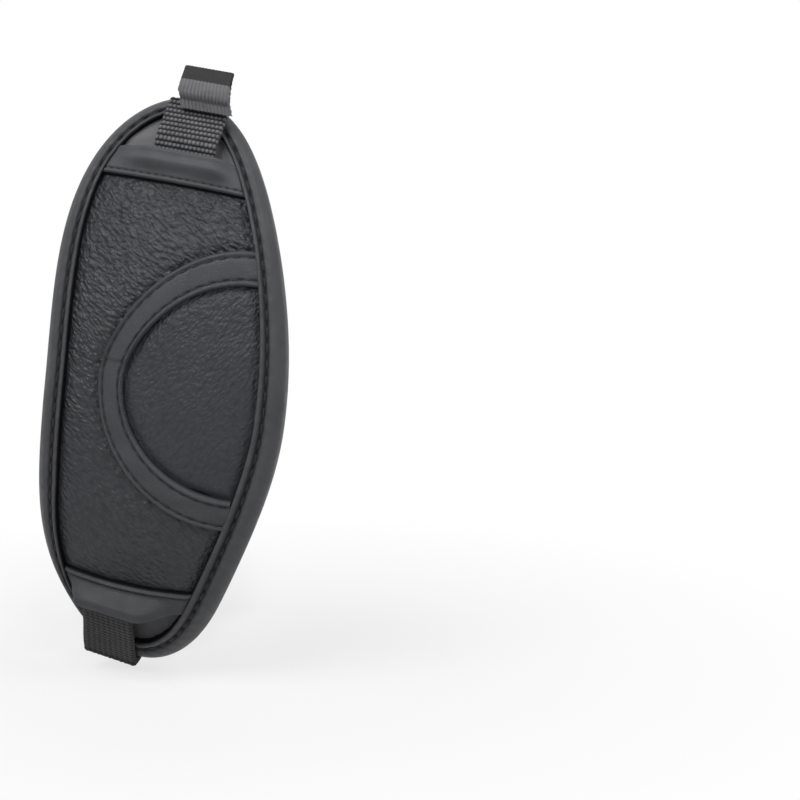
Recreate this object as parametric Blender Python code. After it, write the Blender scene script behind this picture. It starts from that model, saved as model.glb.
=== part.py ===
"""Padded hand grip strap: a bent leaf-shaped leather pad with a bound edge, ribbed webbing at both
ends, a narrow webbing loop for a strap eyelet, and a base plate with a captive tripod screw.

Metres, +Z up. The origin is the middle of the screw on the base plate's seat. The pad's outer face
looks towards -Y. On the pad, s runs up its length from the middle, t runs across it to the right,
and n stands out of its face, with n = 0 on the outer face of the binding at the pad's edge.
"""
import math

import bmesh
import bpy
import numpy as np

for old_object in list(bpy.data.objects):
    bpy.data.objects.remove(old_object)

# Clearance between pieces that touch
GAP = 0.0003

# Place and bend of the pad
PAD_MIDDLE = (0.012, -0.106, 0.055)
PAD_TURN = math.radians(12)
PAD_LEAN = math.radians(9)
PAD_TIP = math.radians(1.6)
PAD_BEND_RADIUS = 0.111

# Leaf outline of the pad
WIDEST_S = -0.012
HALF_WIDTH = 0.0237
TOP_REACH = 0.0618
BOTTOM_REACH = 0.0640
TOP_FULLNESS = 2.5
BOTTOM_FULLNESS = 1.8
BOW_MIDDLE = 0.0018
BOW_TOP = 0.0053
BOW_BOTTOM = 0.0032
BOW_TOP_REACH = 0.058
BOW_BOTTOM_REACH = 0.044

# Layers of the pad
LINING_THICKNESS = 0.0008
FOAM_EDGE = 0.0014
FOAM_CROWN = 0.0032
LEATHER_THICKNESS = 0.0008
POCKET_LINING_THICKNESS = 0.0007

# Binding tape round the edge
TAPE_THICKNESS = 0.0007
TAPE_WIDTH = 0.0037
TAPE_RIDGE = 0.0004
TAPE_RIDGE_WIDTH = 0.0011
TAPE_BULGE = 0.0003
TAPE_STITCH_DIP = 0.0002
TAPE_STITCH_FROM_RIDGE = 0.0003

# Share of the tape's width that lies on the pad's face, at each turn in degrees round the outline
# from its widest point on the right: wide at the lower tip and narrow at the lower left
TAPE_SHARES = ((0, 1.08), (30, 0.80), (90, 0.76), (135, 0.76), (160, 0.95), (200, 1.0),
               (215, 0.80), (228, 0.60), (240, 0.72), (268, 1.65), (280, 1.60), (300, 1.36),
               (345, 1.22), (360, 1.08))

# Smooth end panels and the pockets under them
UPPER_SEAM_S = 0.0322
UPPER_PANEL_LENGTH = 0.0060
LOWER_SEAM_S = -0.0525
LOWER_PANEL_LENGTH = 0.0058
HEM_RISE = 0.0004
SEAM_OVERLAP = 0.0022
PANEL_HEM = 0.0012
PANEL_DRAPE = 0.0080

# Curved band and the half-moon panel inside it
MOON_S = -0.0064
MOON_T = 0.0185
BAND_OUTER_HEIGHT = 0.0288
BAND_OUTER_REACH = 0.0293
BAND_INNER_HEIGHT = 0.0217
BAND_INNER_REACH = 0.0240
MOON_TOP_FULLNESS = 1.6
MOON_BOTTOM_FULLNESS = 2.0

# Section of the band: share of its width and height over its middle
BAND_SECTION = ((0.0, 0.0), (0.08, HEM_RISE), (0.2, 0.0), (0.5, HEM_RISE / 4), (0.8, 0.0),
                (0.92, HEM_RISE), (1.0, 0.0))

# Webbing
WIDE_WEB_WIDTH = 0.0115
WIDE_WEB_THICKNESS = 0.0014
RIB_PITCH = 0.0015
RIB_HEIGHT = 0.00025
UPPER_WEB_T = -0.0017
LOWER_WEB_T = -0.0063
WEB_TUCK = 0.0020
WEB_CLIMB_START = 0.0010
WEB_CLIMB_LENGTH = 0.0038
UPPER_WEB_END_BACK = 0.0011
EYELET_WEB_WIDTH = 0.0100
EYELET_WEB_THICKNESS = 0.0011

# Eyelet loop: how far its two ends lap back on the wide webbing, and its middle from the pad's tip
EYELET_LAP_BACK = 0.0030
EYELET_LAP_UNDER = 0.0008
EYELET_LAP_T = 0.0010
EYELET_TIP_T = -0.0003
EYELET_LOOP_REACH = (-0.0011, 0.0132, 0.0027)
EYELET_LOOP_INSIDE = 0.0046

# Base plate
PLATE_WIDTH = 0.034
PLATE_NOSE_WIDTH = 0.0205
PLATE_NOSE = 0.014
PLATE_TAPER = 0.018
PLATE_BACK = 0.016
PLATE_FRONT = -0.070
PLATE_THICKNESS = 0.0055
PLATE_CORNER = 0.006
SEAT_PAD_THICKNESS = 0.0015
SEAT_PAD_MARGIN = 0.002
SLOT_BAR = 0.0038
SLOT_OPENING = 0.0044
BAR_RECESS = 0.0022
SLOT_SIDE_ROOM = 0.0010
NOSE_CORNER = 0.0042

# Lower webbing: its slanting fold round the pad's tip, and its tail's way from the bar's inside
TIP_FOLD_SLANT = 0.2
TIP_FOLD_START = -0.062
TIP_FOLD_RAISE = 0.0005
TIP_FOLD = ((0.0012, 0.0016), (-0.0002, -0.0012), (-0.0002, -0.0044))
TIP_FOLD_RETURN = 0.0018
WEB_TAIL = ((-0.0005, -0.0011), (-0.0018, -0.0042), (-0.0036, -0.0064), (-0.0052, -0.0078))

# Tripod screw
SCREW_RADIUS = 0.003175
SCREW_RUNNING_GAP = 0.0004
SCREW_STAND_OUT = 0.0048
SCREW_HEAD_RADIUS = 0.0075
SCREW_HEAD_HEIGHT = 0.0030
COIN_SLOT_WIDTH = 0.0018
COIN_SLOT_DEPTH = 0.0016
CLIP_WIDTH = 0.0016
CLIP_THICKNESS = 0.0006
CLIP_MOUTH = math.radians(35)
CLIP_ROOM = 0.0002
CLIP_WELL_ROOM = 0.0008
THREAD_CHAMFER = 0.0006
GROOVE_DEPTH = 0.0005
HEAD_CHAMFER = 0.0005
ROUND_SIDES = 32

# Levels of the pad's layers along n, counted in from the binding's outer face
LEATHER_EDGE_TOP = -TAPE_THICKNESS - GAP
FOAM_EDGE_TOP = LEATHER_EDGE_TOP - LEATHER_THICKNESS - GAP
FOAM_BACK = FOAM_EDGE_TOP - FOAM_EDGE
LINING_FRONT = FOAM_BACK - GAP
LINING_BACK = LINING_FRONT - LINING_THICKNESS
TAPE_BACK_INSIDE = LINING_BACK - GAP
TAPE_BACK = TAPE_BACK_INSIDE - TAPE_THICKNESS
TAPE_STITCH_INSET = TAPE_WIDTH - TAPE_RIDGE_WIDTH - TAPE_STITCH_FROM_RIDGE

# Heights over the foam
OVER_FOAM = GAP
OVER_LEATHER = GAP + LEATHER_THICKNESS + GAP
OVER_POCKET_LINING = GAP + POCKET_LINING_THICKNESS + GAP
OVER_TAPE = OVER_LEATHER + TAPE_THICKNESS + TAPE_RIDGE + GAP

TOP_S = WIDEST_S + TOP_REACH
BOTTOM_S = WIDEST_S - BOTTOM_REACH
LEATHER_INSET = 0.0003
UPPER_FREE_S = UPPER_SEAM_S + UPPER_PANEL_LENGTH
LOWER_FREE_S = LOWER_SEAM_S - LOWER_PANEL_LENGTH

# Levels of the base plate, counted down from the seat
SEAT_PAD_BOTTOM = -SEAT_PAD_THICKNESS
PLATE_TOP = SEAT_PAD_BOTTOM - GAP
PLATE_BOTTOM = PLATE_TOP - PLATE_THICKNESS
BAR_TOP = PLATE_TOP - BAR_RECESS
BAR_BACK = PLATE_FRONT + SLOT_BAR
SLOT_BACK = BAR_BACK + SLOT_OPENING
HEAD_TOP = PLATE_BOTTOM - GAP
HEAD_BOTTOM = HEAD_TOP - SCREW_HEAD_HEIGHT

OUTLINE_STATIONS = 68
FIELD_ROW = 0.0042


def pad_axes():
    """Returns the pad's directions: out of its face, up its length and across it."""
    turn_cos = math.cos(PAD_TURN)
    turn_sin = math.sin(PAD_TURN)
    out = np.array([-turn_sin, -turn_cos, 0.0])
    level = np.array([turn_cos, -turn_sin, 0.0])
    plumb = np.array([0.0, 0.0, 1.0])
    up = math.cos(PAD_LEAN) * plumb + math.sin(PAD_LEAN) * level
    across = math.cos(PAD_LEAN) * level - math.sin(PAD_LEAN) * plumb
    return out, up, across


OUT, UP, ACROSS = pad_axes()


def pad_point(s, t, n):
    """Returns the world point at s, t, n on the pad, which is bent to a round arc along s."""
    angle = PAD_TIP + s / PAD_BEND_RADIUS
    rise = PAD_BEND_RADIUS * (math.sin(angle) - math.sin(PAD_TIP))
    bulge = PAD_BEND_RADIUS * (math.cos(angle) - math.cos(PAD_TIP))
    face = math.cos(angle) * OUT + math.sin(angle) * UP
    return np.array(PAD_MIDDLE) + rise * UP + bulge * OUT + t * ACROSS + n * face


def smooth_step(value, start, end):
    """Returns 0 before start, 1 after end and a smooth rise between them."""
    share = min(1.0, max(0.0, (value - start) / (end - start)))
    return share * share * (3.0 - 2.0 * share)


def centre_line(s):
    """Returns t of the pad's own centre line, which bows to the right in the middle."""
    if s > WIDEST_S:
        share = min(1.0, (s - WIDEST_S) / BOW_TOP_REACH)
        return BOW_MIDDLE - BOW_TOP * math.sin(math.pi / 2 * share) ** 2
    share = min(1.0, (WIDEST_S - s) / BOW_BOTTOM_REACH)
    return BOW_MIDDLE - BOW_BOTTOM * math.sin(math.pi / 2 * share) ** 2


def half_width(s):
    """Returns half the pad's width at s."""
    if s > WIDEST_S:
        share = (s - WIDEST_S) / TOP_REACH
        return HALF_WIDTH * math.sqrt(max(0.0, 1.0 - share ** TOP_FULLNESS))
    share = (WIDEST_S - s) / BOTTOM_REACH
    return HALF_WIDTH * math.sqrt(max(0.0, 1.0 - share ** BOTTOM_FULLNESS))


def outline_at(angle):
    """Returns s, t on the leaf outline, anticlockwise from its widest point on the right."""
    side = math.sin(angle)
    fullness, reach = (TOP_FULLNESS, TOP_REACH) if side > 0 else (BOTTOM_FULLNESS, BOTTOM_REACH)
    s = WIDEST_S + math.copysign(reach * abs(side) ** (2.0 / fullness), side)
    return s, centre_line(s) + HALF_WIDTH * math.cos(angle)


def spaced_outline(count):
    """Returns points on the outline, closer at its tips, with the way in and the tape's width."""
    fine = np.array([outline_at(2 * math.pi * (k + 0.5) / 2000) for k in range(2001)])
    steps = np.diff(fine, axis=0)
    run = np.concatenate([[0.0], np.cumsum(np.hypot(steps[:, 0], steps[:, 1]))])
    heading = np.unwrap(np.arctan2(steps[:, 1], steps[:, 0]))
    turned = np.concatenate([[0.0], np.maximum.accumulate(np.abs(heading - heading[0]))])
    measure = run / run[-1] + turned / turned[-1]
    wanted = np.arange(count) * measure[-1] / count
    points = np.stack([np.interp(wanted, measure, fine[:, k]) for k in (0, 1)], axis=1)
    ahead = np.roll(points, -1, axis=0) - np.roll(points, 1, axis=0)
    inward = np.stack([-ahead[:, 1], ahead[:, 0]], axis=1)
    inward /= np.hypot(inward[:, 0], inward[:, 1])[:, None]
    turn = np.interp(wanted, measure, 360.0 * (np.arange(len(fine)) + 0.5) / (len(fine) - 1))
    shares = np.interp(turn, *zip(*TAPE_SHARES), period=360.0)
    return points, -inward, TAPE_WIDTH * shares


EDGE_FINE, EDGE_FINE_IN, EDGE_FINE_TAPE = spaced_outline(400)


def inset_side(s, side, inset):
    """Returns t of the outline moved in by inset, at s, on the left (-1) or the right (1)."""
    return side_of(EDGE_FINE + EDGE_FINE_IN * inset, s, side)


def tape_side(s, side):
    """Returns t of the line just inside the tape's inner edge, at s."""
    return side_of(EDGE_FINE + EDGE_FINE_IN * (EDGE_FINE_TAPE + GAP)[:, None], s, side)


def side_of(loop, s, side):
    """Returns t of the loop at s, on the left (-1) or the right (1)."""
    top = int(np.argmax(loop[:, 0]))
    bottom = int(np.argmin(loop[:, 0]))
    loop = np.roll(loop, -top, axis=0)
    turn = (bottom - top) % len(loop)
    left, right = loop[:turn + 1], np.vstack([loop[turn:], loop[:1]])
    half = left[::-1] if side < 0 else right
    return float(np.interp(s, half[:, 0], half[:, 1]))


def crown(s, t):
    """Returns how far the foam's crowned face stands above its own edge."""
    if half_width(s) <= 0.0:
        return 0.0
    across = (t - centre_line(s)) / half_width(s)
    along = (s - WIDEST_S) / (TOP_REACH if s > WIDEST_S else BOTTOM_REACH)
    return FOAM_CROWN * max(0.0, 1.0 - across ** 2) * max(0.0, 1.0 - along ** 4)


def foam_top(s, t):
    """Returns n of the foam's outer face."""
    return FOAM_EDGE_TOP + crown(s, t)


def make_material(name, colour, roughness, metallic=0.0):
    """Returns a Principled material of one colour."""
    material = bpy.data.materials.new(name)
    material.use_nodes = True
    shader = material.node_tree.nodes["Principled BSDF"]
    shader.inputs["Base Color"].default_value = (*colour, 1.0)
    shader.inputs["Roughness"].default_value = roughness
    shader.inputs["Metallic"].default_value = metallic
    return material


def add_object(name, vertices, faces, material, crease=40.0):
    """Adds a closed mesh with its faces pointing out and its round parts smooth."""
    mesh = bpy.data.meshes.new(name)
    mesh.from_pydata([tuple(v) for v in vertices], [], faces)
    work = bmesh.new()
    work.from_mesh(mesh)
    bmesh.ops.recalc_face_normals(work, faces=work.faces)
    work.to_mesh(mesh)
    work.free()
    mesh.materials.append(material)
    piece = bpy.data.objects.new(name, mesh)
    bpy.context.scene.collection.objects.link(piece)
    mesh.shade_smooth()
    mesh.set_sharp_from_angle(angle=math.radians(crease))
    return piece


def add_plate(name, rows, columns, under, thickness, material):
    """Adds a sheet on the pad: rows give s and its two ends in t; under and thickness give n."""
    vertices = []
    for s, t_left, t_right in rows:
        for column in range(columns + 1):
            t = t_left + (t_right - t_left) * column / columns
            low = under(s, t)
            vertices.append(pad_point(s, t, low))
            vertices.append(pad_point(s, t, low + thickness(s, t)))

    def corner(row, column, top):
        return (row * (columns + 1) + column) * 2 + top

    faces = []
    last_row = len(rows) - 1
    for row in range(last_row):
        for column in range(columns):
            for top in (0, 1):
                faces.append((corner(row, column, top), corner(row, column + 1, top),
                              corner(row + 1, column + 1, top), corner(row + 1, column, top)))
        for column in (0, columns):
            faces.append((corner(row, column, 0), corner(row + 1, column, 0),
                          corner(row + 1, column, 1), corner(row, column, 1)))
    for row in (0, last_row):
        for column in range(columns):
            faces.append((corner(row, column, 0), corner(row, column + 1, 0),
                          corner(row, column + 1, 1), corner(row, column, 1)))
    return add_object(name, vertices, faces, material)


def add_leaf(name, inset, rings, back, front, material):
    """Adds a leaf-shaped layer between the levels back and front, which are functions of s and t."""
    points, inward, _ = spaced_outline(OUTLINE_STATIONS)
    loop = points + inward * inset
    middle = np.array([WIDEST_S, centre_line(WIDEST_S)])
    vertices = []
    for level in (back, front):
        vertices.append(pad_point(*middle, level(*middle)))
        for ring in range(1, rings + 1):
            share = math.sin(math.pi / 2 * ring / rings)
            for s, t in middle + (loop - middle) * share:
                vertices.append(pad_point(s, t, level(s, t)))
    count = len(loop)
    side = 1 + rings * count
    faces = []
    for start in (0, side):
        for k in range(count):
            after = (k + 1) % count
            faces.append((start, start + 1 + k, start + 1 + after))
            for ring in range(rings - 1):
                near = start + 1 + ring * count
                far = near + count
                faces.append((near + k, near + after, far + after, far + k))
    rim = 1 + (rings - 1) * count
    for k in range(count):
        after = (k + 1) % count
        faces.append((rim + k, rim + after, side + rim + after, side + rim + k))
    return add_object(name, vertices, faces, material)


def spaced_rows(start, end, left, right):
    """Returns rows for a plate from start to end in s, with its ends from the functions given."""
    count = max(2, math.ceil(abs(end - start) / FIELD_ROW))
    values = [start + (end - start) * k / count for k in range(count + 1)]
    return [(s, left(s), right(s)) for s in values]


def moon_share(s, height):
    """Returns how far round the half moon's curve s lies, as 1 at its left end and 0 at its tips."""
    fullness = MOON_TOP_FULLNESS if s > MOON_S else MOON_BOTTOM_FULLNESS
    share = min(1.0, abs(s - MOON_S) / height)
    return math.sqrt(1.0 - share ** fullness)


def moon_curve(angle, height, reach):
    """Returns s, t on a half-moon curve; angle runs from its lower tip (-90) to its upper (90)."""
    side = math.sin(angle)
    fullness = MOON_TOP_FULLNESS if side > 0 else MOON_BOTTOM_FULLNESS
    s = MOON_S + math.copysign(height * abs(side) ** (2.0 / fullness), side)
    return s, MOON_T - reach * math.cos(angle)


MOON_MIDDLE_HEIGHT = (BAND_OUTER_HEIGHT + BAND_INNER_HEIGHT) / 2
MOON_MIDDLE_REACH = (BAND_OUTER_REACH + BAND_INNER_REACH) / 2


def make_foam(material):
    """The foam cushion, thin at the edge and crowned in the middle."""
    return add_leaf("foam_pad", LEATHER_INSET, 6, lambda s, t: FOAM_BACK, foam_top, material)


def make_back_lining(material):
    """The smooth lining against the back of the hand."""
    return add_leaf("back_lining", LEATHER_INSET, 3, lambda s, t: LINING_BACK,
                    lambda s, t: LINING_FRONT, material)


def make_main_panel(material):
    """The grained leather panel, cut out on the right round the half-moon panel."""
    low = LOWER_SEAM_S - SEAM_OVERLAP
    high = UPPER_SEAM_S + SEAM_OVERLAP
    moon_low = MOON_S - MOON_MIDDLE_HEIGHT
    moon_high = MOON_S + MOON_MIDDLE_HEIGHT

    def left(s):
        return inset_side(s, -1, LEATHER_INSET)

    def right(s):
        return inset_side(s, 1, LEATHER_INSET)

    def moon(s):
        return MOON_T - MOON_MIDDLE_REACH * moon_share(s, MOON_MIDDLE_HEIGHT) - GAP / 2

    rows = spaced_rows(low, moon_low - GAP, left, right)
    turns = 22
    for k in range(turns + 1):
        angle = -math.pi / 2 + math.pi * k / turns
        s = moon_curve(angle, MOON_MIDDLE_HEIGHT, MOON_MIDDLE_REACH)[0]
        rows.append((s, left(s), moon(s)))
    rows += spaced_rows(moon_high + GAP, high, left, right)
    return add_plate("main_panel", rows, 8, lambda s, t: foam_top(s, t) + OVER_FOAM,
                     lambda s, t: LEATHER_THICKNESS, material)


def make_half_moon_panel(material):
    """The grained leather half-moon inside the curved band."""
    rows = []
    turns = 20
    for k in range(turns + 1):
        angle = -math.pi / 2 + math.pi * k / turns
        s, t = moon_curve(angle, MOON_MIDDLE_HEIGHT, MOON_MIDDLE_REACH)
        rows.append((s, t + GAP / 2, inset_side(s, 1, LEATHER_INSET)))
    return add_plate("half_moon_panel", rows, 6, lambda s, t: foam_top(s, t) + OVER_FOAM,
                     lambda s, t: LEATHER_THICKNESS, material)


def make_curved_band(material):
    """The smooth band over the seam round the half moon, thick along both edges like a hem."""
    turns = 40
    vertices = []
    for k in range(turns + 1):
        angle = -math.pi / 2 + math.pi * k / turns
        outer = moon_curve(angle, BAND_OUTER_HEIGHT, BAND_OUTER_REACH)
        inner = moon_curve(angle, BAND_INNER_HEIGHT, BAND_INNER_REACH)
        for share, rise in BAND_SECTION:
            s = outer[0] + (inner[0] - outer[0]) * share
            t = outer[1] + (inner[1] - outer[1]) * share
            t = min(t, tape_side(s, 1))
            low = foam_top(s, t) + OVER_LEATHER
            vertices.append(pad_point(s, t, low))
            vertices.append(pad_point(s, t, low + LEATHER_THICKNESS + rise))
    width = len(BAND_SECTION)
    faces = []
    for k in range(turns):
        for j in range(width - 1):
            for top in (0, 1):
                a = (k * width + j) * 2 + top
                b = ((k + 1) * width + j) * 2 + top
                faces.append((a, a + 2, b + 2, b))
        for j in (0, width - 1):
            a = (k * width + j) * 2
            b = ((k + 1) * width + j) * 2
            faces.append((a, b, b + 1, a + 1))
    for k in (0, turns):
        for j in range(width - 1):
            a = (k * width + j) * 2
            faces.append((a, a + 2, a + 3, a + 1))
    return add_object("curved_band", vertices, faces, material)


def upper_web_under(s):
    """Returns n of the underside of the upper webbing: in the pocket, then over the binding."""
    start = UPPER_FREE_S - WEB_CLIMB_START
    climb = smooth_step(s, start, start + WEB_CLIMB_LENGTH)
    over = OVER_POCKET_LINING + (OVER_TAPE - OVER_POCKET_LINING) * climb
    return foam_top(min(s, TOP_S), UPPER_WEB_T) + over + RIB_HEIGHT


def lower_web_under(s):
    """Returns n of the underside of the lower webbing, which lies on the binding at its left."""
    sides = (LOWER_WEB_T, LOWER_WEB_T + WIDE_WEB_WIDTH / 4, LOWER_WEB_T + WIDE_WEB_WIDTH / 2)
    return max(foam_top(max(s, BOTTOM_S), t) for t in sides) + OVER_TAPE + RIB_HEIGHT


def panel_rise(s, t, seam_s, length, web_t, web_under):
    """Returns how far an end panel is lifted by the webbing under it, most at its free edge."""
    away = abs(s - seam_s)
    tucked = smooth_step(away, PANEL_HEM, abs(length) - WEB_TUCK - GAP)
    edge = WIDE_WEB_WIDTH / 2 + RIB_HEIGHT + GAP
    room = abs(tape_side(s, 1 if t > web_t else -1) - web_t) - edge
    beside = smooth_step(abs(t - web_t), edge, edge + min(PANEL_DRAPE, room))
    web_top = web_under(s) + WIDE_WEB_THICKNESS + RIB_HEIGHT + GAP
    lift = max(0.0, web_top - foam_top(s, t) - OVER_LEATHER)
    return lift * tucked * (1.0 - beside)


def make_end_panel(name, seam_s, length, web_t, web_under, material):
    """A smooth end panel: a hem along its seam, a rolled free edge, lifted over the webbing."""
    way = math.copysign(1.0, length)
    long = abs(length)
    marks = (0.0, PANEL_HEM * 0.25, PANEL_HEM * 0.6, PANEL_HEM, PANEL_HEM * 1.5, long * 0.4,
             long * 0.55, long * 0.7, long * 0.82, long - PANEL_HEM * 0.4, long)
    levels = [seam_s + way * mark for mark in marks]
    rows = [(s, tape_side(s, -1), tape_side(s, 1)) for s in levels]

    def under(s, t):
        return foam_top(s, t) + OVER_LEATHER + panel_rise(s, t, seam_s, length, web_t, web_under)

    def thickness(s, t):
        away = abs(s - seam_s)
        hem = HEM_RISE * math.exp(-((away - PANEL_HEM / 2) / (PANEL_HEM / 3)) ** 2)
        roll = HEM_RISE * math.exp(-((away - long + PANEL_HEM * 0.4) / (PANEL_HEM * 0.4)) ** 2)
        return LEATHER_THICKNESS + hem + roll

    return add_plate(name, rows, 20, under, thickness, material)


def make_pocket_lining(name, start, end, material):
    """The lining at the bottom of an end pocket, from the leather's end to the pad's tip."""
    rows = spaced_rows(start, end, lambda s: inset_side(s, -1, LEATHER_INSET),
                       lambda s: inset_side(s, 1, LEATHER_INSET))
    return add_plate(name, rows, 8, lambda s, t: foam_top(s, t) + OVER_FOAM,
                     lambda s, t: POCKET_LINING_THICKNESS, material)


def make_binding(material):
    """The tape folded round the pad's edge, with a ridge on its inner side past the stitches."""
    ridge = TAPE_WIDTH - TAPE_RIDGE_WIDTH / 2
    face_top = OVER_LEATHER + TAPE_THICKNESS
    dip = TAPE_STITCH_DIP
    face = ((TAPE_WIDTH, OVER_LEATHER + TAPE_THICKNESS / 3), (TAPE_WIDTH - dip, face_top),
            (ridge, face_top + TAPE_RIDGE), (TAPE_WIDTH - TAPE_RIDGE_WIDTH, face_top - dip / 2),
            (TAPE_STITCH_INSET, face_top - dip),
            (TAPE_STITCH_INSET - TAPE_STITCH_FROM_RIDGE, face_top + dip / 2),
            (TAPE_WIDTH * 0.35, face_top + TAPE_BULGE), (TAPE_WIDTH * 0.1, face_top + dip / 2))
    depth = -TAPE_BACK
    roll = []
    for degrees in (50, 0, -50):
        angle = math.radians(degrees)
        roll.append((-GAP - TAPE_THICKNESS * math.cos(angle),
                     -depth / 2 + depth / 2 * math.sin(angle)))
    back = ((GAP, TAPE_BACK), (TAPE_WIDTH - GAP, TAPE_BACK),
            (TAPE_WIDTH, TAPE_BACK_INSIDE))
    inside_back = ((TAPE_WIDTH * 0.5, TAPE_BACK_INSIDE), (-GAP * 0.2, TAPE_BACK_INSIDE))
    inside_front = ((0.0, OVER_LEATHER), (TAPE_WIDTH * 0.5, OVER_LEATHER))
    points, inward, widths = spaced_outline(OUTLINE_STATIONS)
    vertices = []
    for (edge_s, edge_t), (in_s, in_t), width in zip(points, inward, widths):
        for offset, over in face:
            spread = offset * width / TAPE_WIDTH
            s, t = edge_s + in_s * spread, edge_t + in_t * spread
            vertices.append(pad_point(s, t, foam_top(s, t) + over))
        for offset, level in roll + list(back) + list(inside_back):
            vertices.append(pad_point(edge_s + in_s * offset, edge_t + in_t * offset, level))
        for offset, over in inside_front:
            s, t = edge_s + in_s * offset, edge_t + in_t * offset
            vertices.append(pad_point(s, t, foam_top(s, t) + over))
    size = len(face) + len(roll) + len(back) + len(inside_back) + len(inside_front)
    count = len(points)
    faces = []
    for k in range(count):
        after = (k + 1) % count
        for j in range(size):
            up = (j + 1) % size
            faces.append((k * size + j, k * size + up, after * size + up, after * size + j))
    return add_object("edge_binding", vertices, faces, material, crease=50.0)


def curve_through(points, step):
    """Returns points about step apart on a smooth curve through the given points."""
    knots = [np.array(p, dtype=float) for p in points]
    knots = [2 * knots[0] - knots[1]] + knots + [2 * knots[-1] - knots[-2]]
    fine = []
    for k in range(1, len(knots) - 2):
        before, start, end, after = knots[k - 1:k + 3]
        for share in np.linspace(0.0, 1.0, 24, endpoint=False):
            fine.append(0.5 * (2 * start + (end - before) * share
                               + (2 * before - 5 * start + 4 * end - after) * share ** 2
                               + (3 * start - before - 3 * end + after) * share ** 3))
    fine.append(knots[-2])
    fine = np.array(fine)
    run = np.concatenate([[0.0], np.cumsum(np.linalg.norm(np.diff(fine[:, :3], axis=0), axis=1))])
    count = max(2, round(run[-1] / step))
    wanted = np.linspace(0.0, run[-1], count + 1)
    return np.stack([np.interp(wanted, run, fine[:, k]) for k in range(fine.shape[1])], axis=1)


def add_strip(name, path, across, width, thickness, ribs, material):
    """Adds a webbing strip: path is its middle, across the line over its width at each point."""
    count = len(path)
    ahead = np.gradient(path, axis=0)
    ahead /= np.linalg.norm(ahead, axis=1)[:, None]
    square = across - ahead * np.sum(across * ahead, axis=1)[:, None]
    length = np.linalg.norm(square, axis=1)[:, None]
    side = across / length
    out = np.cross(square / length, ahead)
    run = np.concatenate([[0.0], np.cumsum(np.linalg.norm(np.diff(path, axis=0), axis=1))])
    vertices = []
    for k in range(count):
        rib = RIB_HEIGHT * math.cos(2 * math.pi * run[k] / RIB_PITCH) if ribs else 0.0
        high = thickness / 2 + rib
        wide = width / 2 + rib * 0.5
        round_in = thickness * 0.3
        for x, z in ((-wide, 0.0), (-wide + round_in, -high), (wide - round_in, -high),
                     (wide, 0.0), (wide - round_in, high), (-wide + round_in, high)):
            vertices.append(path[k] + side[k] * x + out[k] * z)
    faces = []
    for k in range(count - 1):
        for j in range(6):
            up = (j + 1) % 6
            faces.append((k * 6 + j, k * 6 + up, (k + 1) * 6 + up, (k + 1) * 6 + j))
    faces.append(tuple(range(6)))
    faces.append(tuple((count - 1) * 6 + j for j in range(6)))
    return add_object(name, vertices, faces, material, crease=30.0)


WEB_CENTRE = WIDE_WEB_THICKNESS / 2


def make_upper_webbing(material):
    """The wide ribbed webbing from the upper pocket, over the binding to its own cut end."""
    start = UPPER_FREE_S - WEB_TUCK
    end = TOP_S - UPPER_WEB_END_BACK
    count = round((end - start) / (RIB_PITCH / 4))
    levels = np.linspace(start, end, count + 1)
    path = np.array([pad_point(s, UPPER_WEB_T, upper_web_under(s) + WEB_CENTRE) for s in levels])
    across = np.tile(ACROSS, (len(path), 1))
    return add_strip("upper_webbing", path, across, WIDE_WEB_WIDTH, WIDE_WEB_THICKNESS, True,
                     material)


def make_eyelet_webbing(material):
    """The narrow webbing: both its ends sewn one on the other on the wide webbing, and its loop."""
    step = EYELET_WEB_THICKNESS + GAP
    top = upper_web_under(TOP_S) + WIDE_WEB_THICKNESS + RIB_HEIGHT + GAP
    inner = top + EYELET_WEB_THICKNESS / 2
    outer = inner + step
    tip = pad_point(TOP_S, EYELET_TIP_T, (inner + outer) / 2)
    middle = pad_point(TOP_S, EYELET_TIP_T, 0.0) + np.array(EYELET_LOOP_REACH)
    inward = middle - tip
    inward /= np.linalg.norm(inward)
    over = np.cross(ACROSS, inward)
    over /= np.linalg.norm(over)
    over *= math.copysign(1.0, over[2])
    radius = EYELET_LOOP_INSIDE / 2 + EYELET_WEB_THICKNESS / 2
    lap_s = TOP_S - EYELET_LAP_BACK
    under_s = TOP_S - EYELET_LAP_UNDER
    half_s = (lap_s + under_s) / 2
    slope = upper_web_under(lap_s) - upper_web_under(TOP_S)
    points = [pad_point(lap_s, EYELET_LAP_T, inner + slope),
              pad_point(half_s, EYELET_LAP_T / 2, outer + slope / 2 - step / 4),
              pad_point(TOP_S, EYELET_TIP_T, outer)]
    for degrees in (75, 105, 135, 165, 195, 225, 255, 285):
        angle = math.radians(degrees)
        points.append(middle - inward * radius * math.cos(angle) + over * radius * math.sin(angle))
    points += [pad_point(TOP_S, EYELET_TIP_T, inner), pad_point(under_s, EYELET_TIP_T, inner)]
    path = curve_through(points, EYELET_WEB_THICKNESS)
    across = np.tile(ACROSS, (len(path), 1))
    return add_strip("eyelet_webbing", path, across, EYELET_WEB_WIDTH, EYELET_WEB_THICKNESS,
                     False, material)


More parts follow.
